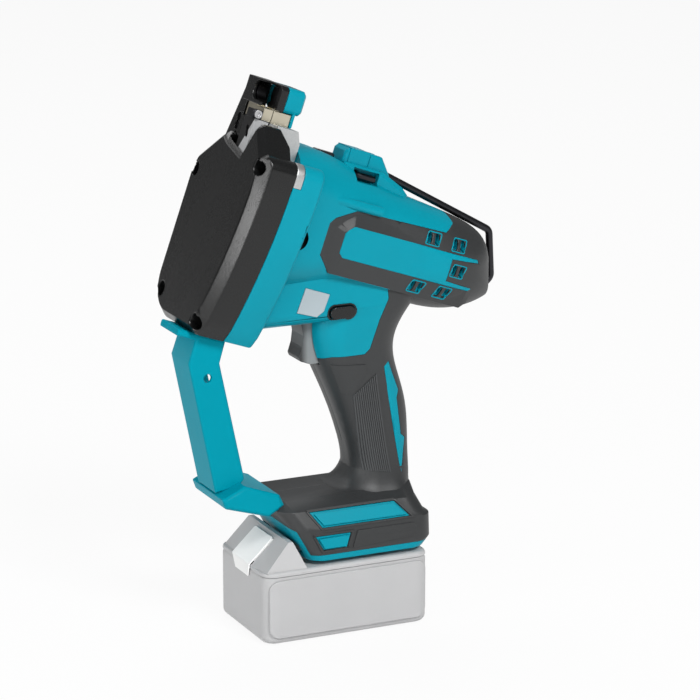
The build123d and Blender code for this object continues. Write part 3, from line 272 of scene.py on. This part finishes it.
def steel(name, colour, roughness, along=HEIGHT):
    """ground steel: fine lines along the grinding direction, a little stain"""
    finish = Finish(name)
    squeeze = tuple(0.03 if abs(part) > 0.5 else 1.0 for part in along)
    lines = finish.node("ShaderNodeMapping", {}, {"Vector": finish.place, "Scale": squeeze})
    scratch = finish.node("ShaderNodeTexNoise", {}, {"Vector": lines, "Scale": 1400.0, "Detail": 3.0})
    stain = finish.noise(scale=90.0, detail=4.0)
    finish.set(
        Base_Color=finish.mix(stain, shade(colour, 0.86), shade(colour, 1.06)),
        Metallic=1.0,
        Roughness=roughness - 0.08 + scratch * 0.16 + stain * 0.06,
        Normal=finish.bump(scratch, strength=0.12, distance=0.04 * MM),
    )
    return finish.material


def shade_split_metal(name, colour, shade_colour, border, beyond, metallic=1.0):
    """metal that is bare up to a border and painted dark beyond it, as shade"""
    finish = Finish(name)
    stain = finish.noise(scale=90.0, detail=4.0)
    # painted shade: everything beyond the border takes the dark colour
    black = finish.fade(finish.along(beyond), border.dot(beyond), width=0.4)
    bare = finish.mix(stain, shade(colour, 0.86), shade(colour, 1.06))
    finish.set(
        Base_Color=finish.mix(black, bare, shade_colour),
        Metallic=metallic,
        Roughness=0.30 + stain * 0.08 + black * 0.12,
    )
    return finish.material


def cast_metal(name, colour):
    """cast alloy: pebbly skin with darker hollows"""
    finish = Finish(name)
    pebble = finish.noise(scale=900.0, detail=4.0)
    stain = finish.noise(scale=60.0, detail=4.0)
    finish.set(
        Base_Color=finish.mix(pebble, shade(colour, 0.80), shade(colour, 1.08)),
        Metallic=0.9,
        Roughness=0.34 + stain * 0.2,
        Normal=finish.bump(pebble, strength=0.4, distance=0.15 * MM),
    )
    return finish.material


TEAL = (0.0, 0.275, 0.365)
DIE_GOLD = (0.66, 0.61, 0.48)
# painted shade for the inside of bores and recesses
BORE_SHADE = (0.006, 0.006, 0.006)

# Finish of each material slot
by_slot = {
    "teal_plastic": moulded("teal_plastic", TEAL, 0.33, gloss=0.14),
    "black_plastic": moulded("black_plastic", (0.0055, 0.0058, 0.006), 0.27, gloss=0.45),
    "soft_skin": soft_skin("soft_skin", (0.027, 0.0286, 0.0297)),
    "pale_plastic": moulded("pale_plastic", (0.49, 0.49, 0.495), 0.40),
    "white_plastic": moulded("white_plastic", (0.93, 0.93, 0.92), 0.42),
    "case_alloy": cast_metal("case_alloy", (0.62, 0.63, 0.63)),
    "tool_steel": steel("ground_steel", (0.60, 0.60, 0.61), 0.28),
    "die_steel": steel("die_steel", DIE_GOLD, 0.34),
    "dark_steel": steel("dark_steel", (0.05, 0.05, 0.055), 0.36),
    "bare_plate": moulded("plate_grey", (0.38, 0.44, 0.47), 0.40),
    "contact_metal": steel("contact_metal", (0.62, 0.42, 0.20), 0.30),
    "winding_stack": steel("winding_stack", (0.20, 0.20, 0.21), 0.45, along=LENGTH),
    "board": moulded("board", (0.02, 0.10, 0.05), 0.35),
    "lens": moulded("lens", (0.02, 0.02, 0.022), 0.12, grain=800.0, depth=0.02 * MM),
}

# Finishes that single pieces have instead, carrying painted shade: dies painted black above their seats, a
# guide painted dark round its bore, a screw recess behind the barrel's flange painted black, a lever painted
# dark beyond its near edge
guide_bore = on_head(0, 0, 70)
die_shade_from = on_head(0, 0, 61.6)
screw_recess = on_head(20.3, 0, -7.8)
flange_rear = on_head(19.65, 0, 0)
lever_shade_from = on_head(0, -10.6, 52.2)
lever_inward = RIGHT * 0.882 + UPWARD * 0.471

guard_teal = moulded("guard_teal", TEAL, 0.36, gloss=0.04)
# painted shade: the dies are coloured black above their seats, where they lie in shadow
rod_die = shade_split_metal("rod_die", DIE_GOLD, (0.012, 0.012, 0.013), die_shade_from, UPWARD)
# painted shade: the guide is coloured dark round its bore, for the shade inside it
guide_teal = shaded_bore("guide_teal", TEAL, BORE_SHADE, guide_bore, ALONG, radius=9.5)
# painted shade: the screw recess behind the flange is coloured black, for the shade in it
barrel_teal = shaded_bore(
    "barrel_teal", TEAL, BORE_SHADE, screw_recess, RIGHT, radius=6.85, front=flange_rear
)
# painted shade: the lever is coloured dark beyond its bright near edge, for the shadow inside the tower
lever_zinc = shade_split_metal(
    "lever_zinc", (0.60, 0.61, 0.62), (0.010, 0.010, 0.011), lever_shade_from, lever_inward, metallic=0.35
)
# painted sheen: a lighter copy of the soft skin stands in for the ribs' reflection
rib_painted_sheen = soft_skin("rib_painted_sheen", (0.050, 0.053, 0.055))
# painted shade: the trigger's front is coloured dark to stand in for its shadow
trigger_front_shade = shaded_front_grey("trigger_front_shade", front_shade=(0.03, 0.032, 0.033), lit_colour=(0.22, 0.235, 0.24))

for node, piece in nodes.items():
    piece.data.materials.clear()
    piece.data.materials.append(by_slot[slot_of[node]])


def select_only(piece):
    bpy.ops.object.select_all(action="DESELECT")
    piece.select_set(True)
    bpy.context.view_layer.objects.active = piece


def edit(piece):
    """open a piece in edit mode with nothing of it selected"""
    select_only(piece)
    bpy.ops.object.mode_set(mode="EDIT")
    bpy.ops.mesh.select_all(action="DESELECT")


def done():
    bpy.ops.object.mode_set(mode="OBJECT")


def pick(piece, kind, wanted):
    """select the faces, edges or corners that a test wants"""
    bpy.ops.mesh.select_mode(type={"faces": "FACE", "edges": "EDGE", "verts": "VERT"}[kind])
    bpy.ops.mesh.select_all(action="DESELECT")
    mesh = bmesh.from_edit_mesh(piece.data)
    for item in getattr(mesh, kind):
        if wanted(item):
            item.select_set(True)
    mesh.select_flush_mode()
    bmesh.update_edit_mesh(piece.data)


def modify(piece, kind, **settings):
    """add a modifier and apply it"""
    select_only(piece)
    modifier = piece.modifiers.new(kind.lower(), kind)
    for key, value in settings.items():
        setattr(modifier, key, value)
    bpy.ops.object.modifier_apply(modifier=modifier.name)


def round_edges(piece, width, steps=2, sharp=32):
    """break the outer corners that are sharper than an angle and have room for it"""
    room = 2.1 * width * MM
    in_line = 0.85

    def wanted(edge):
        if not edge.is_convex or edge.calc_face_angle(0) < radians(sharp):
            return False
        line = (edge.verts[1].co - edge.verts[0].co).normalized()
        for corner in edge.verts:
            for other in corner.link_edges:
                across = (other.verts[1].co - other.verts[0].co).normalized()
                if other != edge and other.calc_length() < room and abs(line.dot(across)) < in_line:
                    return False
        return True

    edit(piece)
    pick(piece, "edges", wanted)
    bpy.ops.mesh.bevel(
        offset=width * MM, segments=steps, affect="EDGES", clamp_overlap=False, miter_outer="ARC"
    )
    done()


def fit_out(piece, slot, body="housing", finish=None):
    """smooth shading, finish and the body that a piece moves with"""
    smooth_below = radians(34)
    select_only(piece)
    bpy.ops.object.shade_smooth_by_angle(angle=smooth_below)
    modify(piece, "WEIGHTED_NORMAL", mode="FACE_AREA", keep_sharp=True)
    piece.data.materials.clear()
    piece.data.materials.append(finish or by_slot[slot])
    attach(piece, body)


def joined_copy(name, *members):
    """copies of nodes in one mesh, their triangles joined to faces"""
    same_place, same_plane = 0.002 * MM, radians(0.6)
    copies = []
    for member in members:
        piece = bpy.data.objects.new(name, nodes[member].data.copy())
        bpy.context.scene.collection.objects.link(piece)
        select_only(piece)
        bpy.ops.mesh.customdata_custom_splitnormals_clear()
        edit(piece)
        bpy.ops.mesh.select_all(action="SELECT")
        bpy.ops.mesh.remove_doubles(threshold=same_place)
        bpy.ops.mesh.dissolve_limited(angle_limit=same_plane)
        done()
        copies.append(piece)
    bpy.ops.object.select_all(action="DESELECT")
    for piece in copies:
        piece.select_set(True)
    bpy.context.view_layer.objects.active = copies[0]
    if len(copies) > 1:
        bpy.ops.object.join()
    return copies[0]


def pull_in(piece, node, reach):
    """bring corners that a bevel has thrown out back onto the node's surface"""
    thrown = []
    for corner in piece.data.vertices:
        place = node.closest_point_on_mesh(corner.co)[1]
        if (place - corner.co).length > reach * MM:
            thrown.append(corner.index)
    if thrown:
        piece.vertex_groups.new(name="stray").add(thrown, 1.0, "REPLACE")
        modify(piece, "SHRINKWRAP", target=node, wrap_method="NEAREST_SURFACEPOINT", vertex_group="stray")
        piece.vertex_groups.clear()


def dressed(node, width, finish=None):
    """a copy of a node with its corners broken"""
    astray = 0.7 * width
    piece = joined_copy(node + "_dressed", node)
    if width:
        round_edges(piece, width)
        pull_in(piece, nodes[node], astray)
    fit_out(piece, slot_of[node], body_of[node], finish)
    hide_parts(node)
    return piece


# Pieces in their slots' finishes, with the width of their broken corners
for node, width in (
    ("right_housing", 0.5), ("left_overmould", 0.45), ("right_overmould", 0.45),
    ("front_cover", 1.0), ("gear_case", 0.6), ("rod_holder", 0.5),
    ("battery_case", 2.4), ("release_button", 0.4), ("lock_button", 0.6),
    ("hook", 0.0), ("hex_wrench", 0.2), ("lamp", 0.0), ("side_plate", 0.25),
    ("die_clamp", 0.3), ("die_bolt", 0.12), ("cover_screws", 0.2),
    ("housing_screws", 0.2), ("guard_screws", 0.15), ("holder_screws", 0.15), ("pivot_pin", 0.2),
):
    dressed(node, width)

# Pieces in finishes of their own
dressed("left_housing", 0.5, finish=barrel_teal)
dressed("front_guard", 0.7, finish=guard_teal)
dressed("rod_guide", 0.5, finish=guide_teal)
dressed("swing_lever", 0.3, finish=lever_zinc)
dressed("movable_die", 0.25, finish=rod_die)
dressed("fixed_die", 0.25, finish=rod_die)

# The springs under the lever and under the release button, whose line points up the battery's slope, each get
# a mesh of their own
return_spring = dressed("return_spring", 0.0)
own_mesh(return_spring)
button_spring = dressed("button_spring", 0.0)
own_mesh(button_spring)


def finger_trigger():
    """the trigger, its front rounded like a finger rest"""
    front_x, side_y, front_round, sharp = -14.0, 8.0, 4.2, radians(50)
    trigger = joined_copy("trigger_dressed", "trigger")

    def on_front(edge):
        return edge.is_convex and edge.calc_face_angle(0) > sharp and all(
            corner.co.x < front_x * MM and abs(corner.co.y) > side_y * MM for corner in edge.verts
        )

    edit(trigger)
    pick(trigger, "edges", on_front)
    bpy.ops.mesh.bevel(offset=front_round * MM, segments=6, affect="EDGES", clamp_overlap=True)
    done()
    round_edges(trigger, 0.5)
    # the trigger's finish carries painted shade on its front
    fit_out(trigger, "black_plastic", "trigger", trigger_front_shade)
    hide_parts("trigger")


finger_trigger()


def battery_hump():
    """the battery's lid, with round shoulders that follow the corners of the case below it"""
    corner_x, corner_y, draw_in = -56.3, 35.6, 2.8
    shoulder_x, shoulder_y, shoulder_z = -26.0, 20.0, 63.0
    shoulder_long, shoulder_round, sharp = 12.0, 3.0, radians(20)
    lid = joined_copy("battery_lid_dressed", "battery_lid")

    def on_shoulder(edge):
        if not edge.is_convex or edge.calc_face_angle(0) <= sharp:
            return False
        long_enough = edge.calc_length() > shoulder_long * MM
        high_enough = max(corner.co.z for corner in edge.verts) > shoulder_z * MM
        return long_enough and high_enough and all(
            corner.co.x < shoulder_x * MM and abs(corner.co.y) > shoulder_y * MM for corner in edge.verts
        )

    edit(lid)
    for way in (-1, 1):
        pick(lid, "verts", lambda corner: corner.co.x < corner_x * MM and corner.co.y * way > corner_y * MM)
        bpy.ops.transform.translate(value=on_row(draw_in, -draw_in * way, 0))
    pick(lid, "edges", on_shoulder)
    bpy.ops.mesh.bevel(offset=shoulder_round * MM, segments=5, affect="EDGES", clamp_overlap=True)
    done()
    round_edges(lid, 0.7)
    fit_out(lid, "pale_plastic", "battery")
    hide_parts("battery_lid")


battery_hump()

# What thin pieces are laid onto, and how far out on the near side they start
near_shell = joined_copy("near_shell", "left_housing", "left_overmould", "right_housing", "right_overmould")
OUTSIDE = -90.0


def flat_face(name, places, outward=-RIGHT):
    """a flat face whose corners are put in their places one by one"""
    bpy.ops.object.select_all(action="DESELECT")
    bpy.ops.mesh.primitive_circle_add(vertices=len(places), radius=MM, fill_type="NGON", location=(0, 0, 0))
    piece = bpy.context.object
    piece.name = name
    edit(piece)
    for index, place in enumerate(places):
        pick(piece, "verts", lambda corner: corner.index == index)
        mesh = bmesh.from_edit_mesh(piece.data)
        mesh.verts.ensure_lookup_table()
        bpy.ops.transform.translate(value=place - mesh.verts[index].co)
    mesh = bmesh.from_edit_mesh(piece.data)
    mesh.normal_update()
    if any(face.normal.dot(outward) < 0 for face in mesh.faces):
        bpy.ops.mesh.select_all(action="SELECT")
        bpy.ops.mesh.flip_normals()
    done()
    return piece


def soften_corners(piece, radius):
    """round the corners of a flat face"""
    edit(piece)
    bpy.ops.mesh.select_all(action="SELECT")
    bpy.ops.mesh.bevel(offset=radius * MM, segments=4, affect="VERTICES", clamp_overlap=True)
    done()


def open_middle(piece, width):
    """leave only a rim of a face"""
    edit(piece)
    bpy.ops.mesh.select_mode(type="FACE")
    bpy.ops.mesh.select_all(action="SELECT")
    bpy.ops.mesh.inset(thickness=width * MM, depth=0)
    bpy.ops.mesh.delete(type="FACE")
    done()


def cut_across(piece, direction, step):
    """cuts at even steps, so that a face can follow a curved wall"""
    reach = [corner.co.dot(direction) for corner in piece.data.vertices]
    count = int((max(reach) - min(reach)) / (step * MM))
    edit(piece)
    for index in range(1, count + 1):
        place = min(reach) + (max(reach) - min(reach)) * index / (count + 1)
        bpy.ops.mesh.select_all(action="SELECT")
        bpy.ops.mesh.bisect(plane_co=direction * place, plane_no=direction)
    done()


def press_on(piece, wall):
    """push a face of the near side onto a wall along Y"""
    modify(
        piece, "SHRINKWRAP", target=wall, wrap_method="PROJECT", use_project_y=True,
        use_positive_direction=True, use_negative_direction=False,
    )


def lay_on(piece, wall, thick, edge):
    """lay a face onto a wall, sunk in a little, give it thickness and break its rim"""
    sink = 0.25
    press_on(piece, wall)
    modify(piece, "SOLIDIFY", thickness=(thick + sink) * MM, offset=(thick - sink) / (thick + sink))
    round_edges(piece, edge, sharp=50)


def far_copy(piece, slot, body="housing", finish=None):
    """the same piece on the far side"""
    twin = bpy.data.objects.new(piece.name + "_far", piece.data.copy())
    bpy.context.scene.collection.objects.link(twin)
    edit(twin)
    bpy.ops.mesh.select_all(action="SELECT")
    bpy.ops.transform.resize(value=(1, -1, 1), center_override=(0, 0, 0))
    bpy.ops.mesh.normals_make_consistent(inside=False)
    done()
    fit_out(twin, slot, body, finish)


def plate(name, places, slot, thick, edge, wall=near_shell, corner=0.0, rim=0.0, cuts=(), body="housing"):
    """a thin plate, or only its rim, on the near side and its twin on the far side"""
    piece = flat_face(name, places)
    if corner:
        soften_corners(piece, corner)
    if rim:
        open_middle(piece, rim)
    for direction, step in cuts:
        cut_across(piece, direction, step)
    lay_on(piece, wall, thick, edge)
    far_copy(piece, slot, body)
    fit_out(piece, slot, body)


def side(points):
    """corners on the near side of the handle, foot or battery: x, z"""
    return [on_row(x, OUTSIDE, z) for x, z in points]


def head_side(points):
    """corners on the near side of the head: u, w"""
    return [on_head(u, OUTSIDE, w) for u, w in points]


# Handle: a pad under the trigger and the ribbed grip behind it
plate(
    "grip_pad", side([(-3, 170), (19.5, 168.6), (20.6, 163.4), (11.2, 150), (5.2, 150)]), "soft_skin",
    thick=0.55, corner=0.8, cuts=[(LENGTH, 2.5), (HEIGHT, 3)], edge=0.25,
)

# The ribbed field's corners, front to rear, and where in its pitch each rib starts and ends
RIBS = 13
RIB_START, RIB_END = 0.14, 0.70
rib_top = [Vector((11.6, 0, 148.6)), Vector((27.4, 0, 161.6))]
rib_foot = [Vector((19.6, 0, 99.2)), Vector((37.6, 0, 96.6))]


def across_ribs(share):
    """top and foot of the line that lies a share of the way across the ribbed field"""
    return rib_top[0].lerp(rib_top[1], share), rib_foot[0].lerp(rib_foot[1], share)


def rib_share(place):
    """how far across the ribbed field a place lies"""
    low, high = 0.0, 1.0
    for _ in range(24):
        middle = (low + high) / 2
        top, foot = across_ribs(middle)
        if (foot - top).cross(place - top).y > 0:
            high = middle
        else:
            low = middle
    return low


def ribbed_grip():
    """ribs that run down the handle, on a thin skin that follows it"""
    rib_rise, skin_thick = 0.6, 0.3
    field = (*rib_top, *reversed(rib_foot))
    piece = flat_face("grip_ribs", side([(corner.x, corner.z) for corner in field]))
    edit(piece)
    for index in range(RIBS):
        for share in ((index + RIB_START) / RIBS, (index + RIB_END) / RIBS):
            top, foot = across_ribs(share)
            along = (foot - top).normalized()
            bpy.ops.mesh.select_all(action="SELECT")
            bpy.ops.mesh.bisect(plane_co=top * MM, plane_no=Vector((along.z, 0, -along.x)))
    done()
    cut_across(piece, HEIGHT, 3.0)
    press_on(piece, near_shell)

    def on_rib(face):
        place = face.calc_center_median() / MM
        return RIB_START < rib_share(Vector((place.x, 0, place.z))) * RIBS % 1 < RIB_END

    edit(piece)
    pick(piece, "faces", on_rib)
    bpy.ops.mesh.extrude_region_move(TRANSFORM_OT_translate={"value": on_row(0, -rib_rise, 0)})
    done()
    modify(piece, "SOLIDIFY", thickness=skin_thick * MM, offset=-0.5)
    # the ribs' lighter finish is painted sheen
    far_copy(piece, "soft_skin", finish=rib_painted_sheen)
    fit_out(piece, "soft_skin", finish=rib_painted_sheen)


ribbed_grip()

# Foot: framed plate on its slope, badge place and band on its side
foot_cuts = [(HEIGHT, 1.5)]
plate(
    "foot_plate_frame", side([(-26.8, 82.4), (34.9, 82.4), (46.6, 70.1), (-18, 70.1)]), "soft_skin",
    thick=0.7, rim=1.15, corner=0.8, cuts=foot_cuts, edge=0.2,
)
plate(
    "foot_plate", side([(-21.6, 79.8), (33, 79.8), (40.4, 72.6), (-16.2, 72.6)]), "teal_plastic",
    thick=1.5, corner=0.5, cuts=foot_cuts, edge=0.3,
)
plate(
    "badge_frame", side([(-24.4, 68), (4.08, 68), (0.08, 56), (-18.3, 56)]), "soft_skin",
    thick=0.8, rim=1.25, corner=0.6, cuts=foot_cuts, edge=0.2,
)
plate(
    "badge_place", side([(-20.4, 65.5), (0.7, 65.5), (-1.8, 58.5), (-16.4, 58.5)]), "teal_plastic",
    thick=1.5, corner=0.4, cuts=foot_cuts, edge=0.3,
)
plate(
    "foot_band", side([(6.4, 67.2), (45.5, 67.2), (48.6, 63.4), (43, 58.4), (2.8, 56.4)]), "soft_skin",
    thick=0.7, corner=0.8, cuts=foot_cuts, edge=0.3,
)

# Battery: raised field with rounded corners on each side
plate(
    "battery_field", side([(-53, 4.4), (53, 4.4), (53, 42), (-53, 42)]), "pale_plastic",
    thick=1.7, corner=6.0, cuts=[(LENGTH, 1.6)], edge=0.85, wall=nodes["battery_case"], body="battery",
)


def button_face():
    """white face of the release button: over its slope and down the battery's front"""
    slope_low, slope_high = on_row(-56.5, 0, 46.0), on_row(-38.0, 0, 63.5)
    lift, thick = 0.25, 1.0
    foot, top, half = -12.4, 9.7, 13.6
    nick_down, nick_in = 1.3, 1.4
    lip = on_row(-0.5, 0, -7.5)
    lip_below, lip_narrowing, lip_middle_y = 40.0, 0.72, -10.0
    slack = 0.4
    rise = (slope_high - slope_low).normalized()
    outward = Vector((-rise.z, 0, rise.x))
    middle = (slope_low + slope_high) / 2 + outward * lift * MM

    def on_slope(along, across):
        return middle + (rise * along + RIGHT * across) * MM

    piece = flat_face("release_button_face", [
        on_slope(foot, half), on_slope(foot, -half),
        on_slope(top - nick_down, -half), on_slope(top, nick_in - half),
        on_slope(top, half - nick_in), on_slope(top - nick_down, half),
    ], outward)

    def at_foot(edge):
        return all((corner.co - middle).dot(rise) < (foot + slack) * MM for corner in edge.verts)

    edit(piece)
    pick(piece, "edges", at_foot)
    bpy.ops.mesh.extrude_region_move(TRANSFORM_OT_translate={"value": lip})
    pick(piece, "verts", lambda corner: corner.co.z < lip_below * MM)
    bpy.ops.transform.resize(value=(1, lip_narrowing, 1), center_override=on_row(0, lip_middle_y, 0))
    done()
    modify(piece, "SOLIDIFY", thickness=thick * MM, offset=1)
    round_edges(piece, 0.4, steps=3, sharp=40)
    fit_out(piece, "white_plastic", "release_button")


button_face()

# Barrel: slanting rims round the pairs of vent slots
vent_places = [(112.0, 14.0), (131.0, 14.0), (134.5, -1.5), (111.0, -17.5), (130.0, -17.0)]
half_long, half_high, slant = 5.1, 4.3, 0.7
for index, (u, w) in enumerate(vent_places):
    outline = [
        (u - half_long + slant, w + half_high), (u + half_long + slant, w + half_high),
        (u + half_long - slant, w - half_high), (u - half_long - slant, w - half_high),
    ]
    plate(
        f"vent_rim_{index + 1}", head_side(outline), "teal_plastic",
        thick=0.45, rim=0.65, corner=1.2, cuts=[(UPWARD, 1.5)], edge=0.12,
    )


def lock_slot_rim():
    """dark rim round the lock button's slot"""
    steps, clear = 16, 1.5
    lowest, highest = (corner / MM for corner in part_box("lock_button"))
    middle = (lowest + highest) / 2
    half = (highest - lowest) / 2
    straight = half.x - half.z
    outline = []
    for step in range(steps):
        turn = 2 * pi * (step + 0.5) / steps
        end = straight if cos(turn) > 0 else -straight
        outline.append((
            middle.x + end + (half.z + clear) * cos(turn), middle.z + (half.z + clear) * sin(turn),
        ))
    plate("lock_rim", side(outline), "black_plastic", thick=0.5, rim=1.0, edge=0.2)


lock_slot_rim()


def handle_root():
    """the soft skin's hollow round where the handle grows out of the foot"""
    columns, rows = 48, 7
    tube_round, tube_tall = 40.0, 20.0
    handle_middle, top_z, foot_z = LENGTH * 32.0, 99.0, 88.5
    flare, less_at_rear = 9.0, 4.5
    proud, thick = 0.1, 0.4
    far_out, far_up = 90.0, 40.0
    bpy.ops.object.select_all(action="DESELECT")
    bpy.ops.mesh.primitive_cylinder_add(
        vertices=columns, radius=tube_round * MM, depth=tube_tall * MM, end_fill_type="NOTHING",
        location=(0, 0, 0),
    )
    piece = bpy.context.object
    piece.name = "handle_root"
    edit(piece)
    pick(piece, "edges", lambda edge: abs(edge.verts[0].co.z - edge.verts[1].co.z) > tube_tall / 2 * MM)
    bpy.ops.mesh.subdivide(number_cuts=rows - 1)
    done()

    def skin(way, z):
        """the skin's surface at a height, met from outside"""
        start = (handle_middle + way * far_out + HEIGHT * z) * MM
        return near_shell.ray_cast(start, -way)[1] / MM

    paths = []
    for column in range(columns):
        turn = 2 * pi * column / columns
        way = Vector((cos(turn), sin(turn), 0))
        high, low = skin(way, top_z), skin(way, foot_z)
        reach = flare - less_at_rear * max(0.0, way.x) ** 2
        above = (low + way * reach + HEIGHT * far_up) * MM
        ground = near_shell.ray_cast(above, -HEIGHT)[1] / MM
        bend = Vector((low.x, low.y, ground.z))
        path = []
        for row in range(rows + 1):
            share = row / rows
            place = high.lerp(bend, share).lerp(bend.lerp(ground, share), share)
            path.append(place + way * proud * (1 - share) + HEIGHT * proud * share)
        paths.append(path)
    edit(piece)
    mesh = bmesh.from_edit_mesh(piece.data)
    moves = []
    for corner in mesh.verts:
        column = round(atan2(corner.co.y, corner.co.x) / (2 * pi) * columns) % columns
        row = round((0.5 - corner.co.z / (tube_tall * MM)) * rows)
        moves.append((corner.index, paths[column][row] * MM - corner.co))
    for index, move in moves:
        pick(piece, "verts", lambda corner: corner.index == index)
        bpy.ops.transform.translate(value=move)
    done()
    modify(piece, "SOLIDIFY", thickness=thick * MM, offset=-1)
    fit_out(piece, "soft_skin")


handle_root()

bpy.data.objects.remove(near_shell)

# Studio, in metres: how white floor and sky are seen, and how much light the sky itself gives
GLOW_SHARE = 0.92
DIM_SKY = 0.18


def pale_floor():
    """floor that is seen as near white and keeps the object's shadow"""
    wide, drop = 12, 0.5 * MM
    bpy.ops.object.select_all(action="DESELECT")
    bpy.ops.mesh.primitive_plane_add(size=wide, location=(0, 0, -drop))
    floor = bpy.context.object
    floor.name = "floor"
    finish = Finish("studio_floor")
    finish.set(Base_Color=(0.80, 0.80, 0.80), Roughness=0.9)
    glow = finish.node("ShaderNodeEmission", {}, {"Color": (1, 1, 1), "Strength": 1.0})
    seen = finish.node("ShaderNodeLightPath", out="Is Camera Ray")
    mirrored = finish.node("ShaderNodeLightPath", out="Is Glossy Ray")
    through = finish.node("ShaderNodeLightPath", out="Is Transmission Ray")
    blend = finish.node("ShaderNodeMixShader", {}, {
        0: seen.maximum(mirrored).maximum(through) * GLOW_SHARE,
        1: Wire(finish.tree, finish.shader.outputs[0]),
        2: glow,
    })
    finish.feed(finish.tree.nodes["Material Output"].inputs["Surface"], blend)
    floor.data.materials.append(finish.material)


def pale_sky():
    """sky that the camera sees as near white and that lights the object only a little"""
    world = bpy.context.scene.world or bpy.data.worlds.new("studio")
    bpy.context.scene.world = world
    world.use_nodes = True
    tree = world.node_tree
    background = tree.nodes["Background"]
    background.inputs["Color"].default_value = (1, 1, 1, 1)
    seen = Wire(tree, tree.nodes.new("ShaderNodeLightPath").outputs["Is Camera Ray"])
    strength = seen * (GLOW_SHARE - DIM_SKY) + DIM_SKY
    tree.links.new(strength.socket, background.inputs["Strength"])


def stand(name, data, place, aim):
    """put a lamp or a camera in its place and turn it to what it aims at"""
    thing = bpy.data.objects.new(name, data)
    bpy.context.scene.collection.objects.link(thing)
    thing.location = place
    thing.rotation_euler = (Vector(aim) - Vector(place)).to_track_quat("-Z", "Y").to_euler()
    return thing


def soft_lamp(name, place, width, height, power):
    data = bpy.data.lights.new(name, "AREA")
    data.shape = "RECTANGLE"
    data.size = width
    data.size_y = height
    data.energy = power
    stand(name, data, place, aim=(0, 0, 0.18))


def photo_camera():
    """the photo's camera"""
    data = bpy.data.cameras.new("photo_camera")
    data.sensor_width = 36.0
    data.lens = 164.6
    eye = stand("photo_camera", data, place=(-0.798, -1.751, 0.6905), aim=(0.0184, 0, 0.1729))
    bpy.context.scene.camera = eye


pale_floor()
pale_sky()
soft_lamp("key", (0.25, -1.9, 1.8), width=0.8, height=0.8, power=48.0)
soft_lamp("fill", (-1.5, -1.6, 0.7), width=1.2, height=1.2, power=9.0)
soft_lamp("front", (-1.9, -0.62, 0.45), width=0.3, height=0.8, power=10.0)
soft_lamp("back", (0.3, 1.2, 2.3), width=1.2, height=1.2, power=20.0)
soft_lamp("rear", (-1.0, 1.4, 1.6), width=1.0, height=1.0, power=6.0)
photo_camera()
bpy.context.scene.view_settings.view_transform = "Standard"
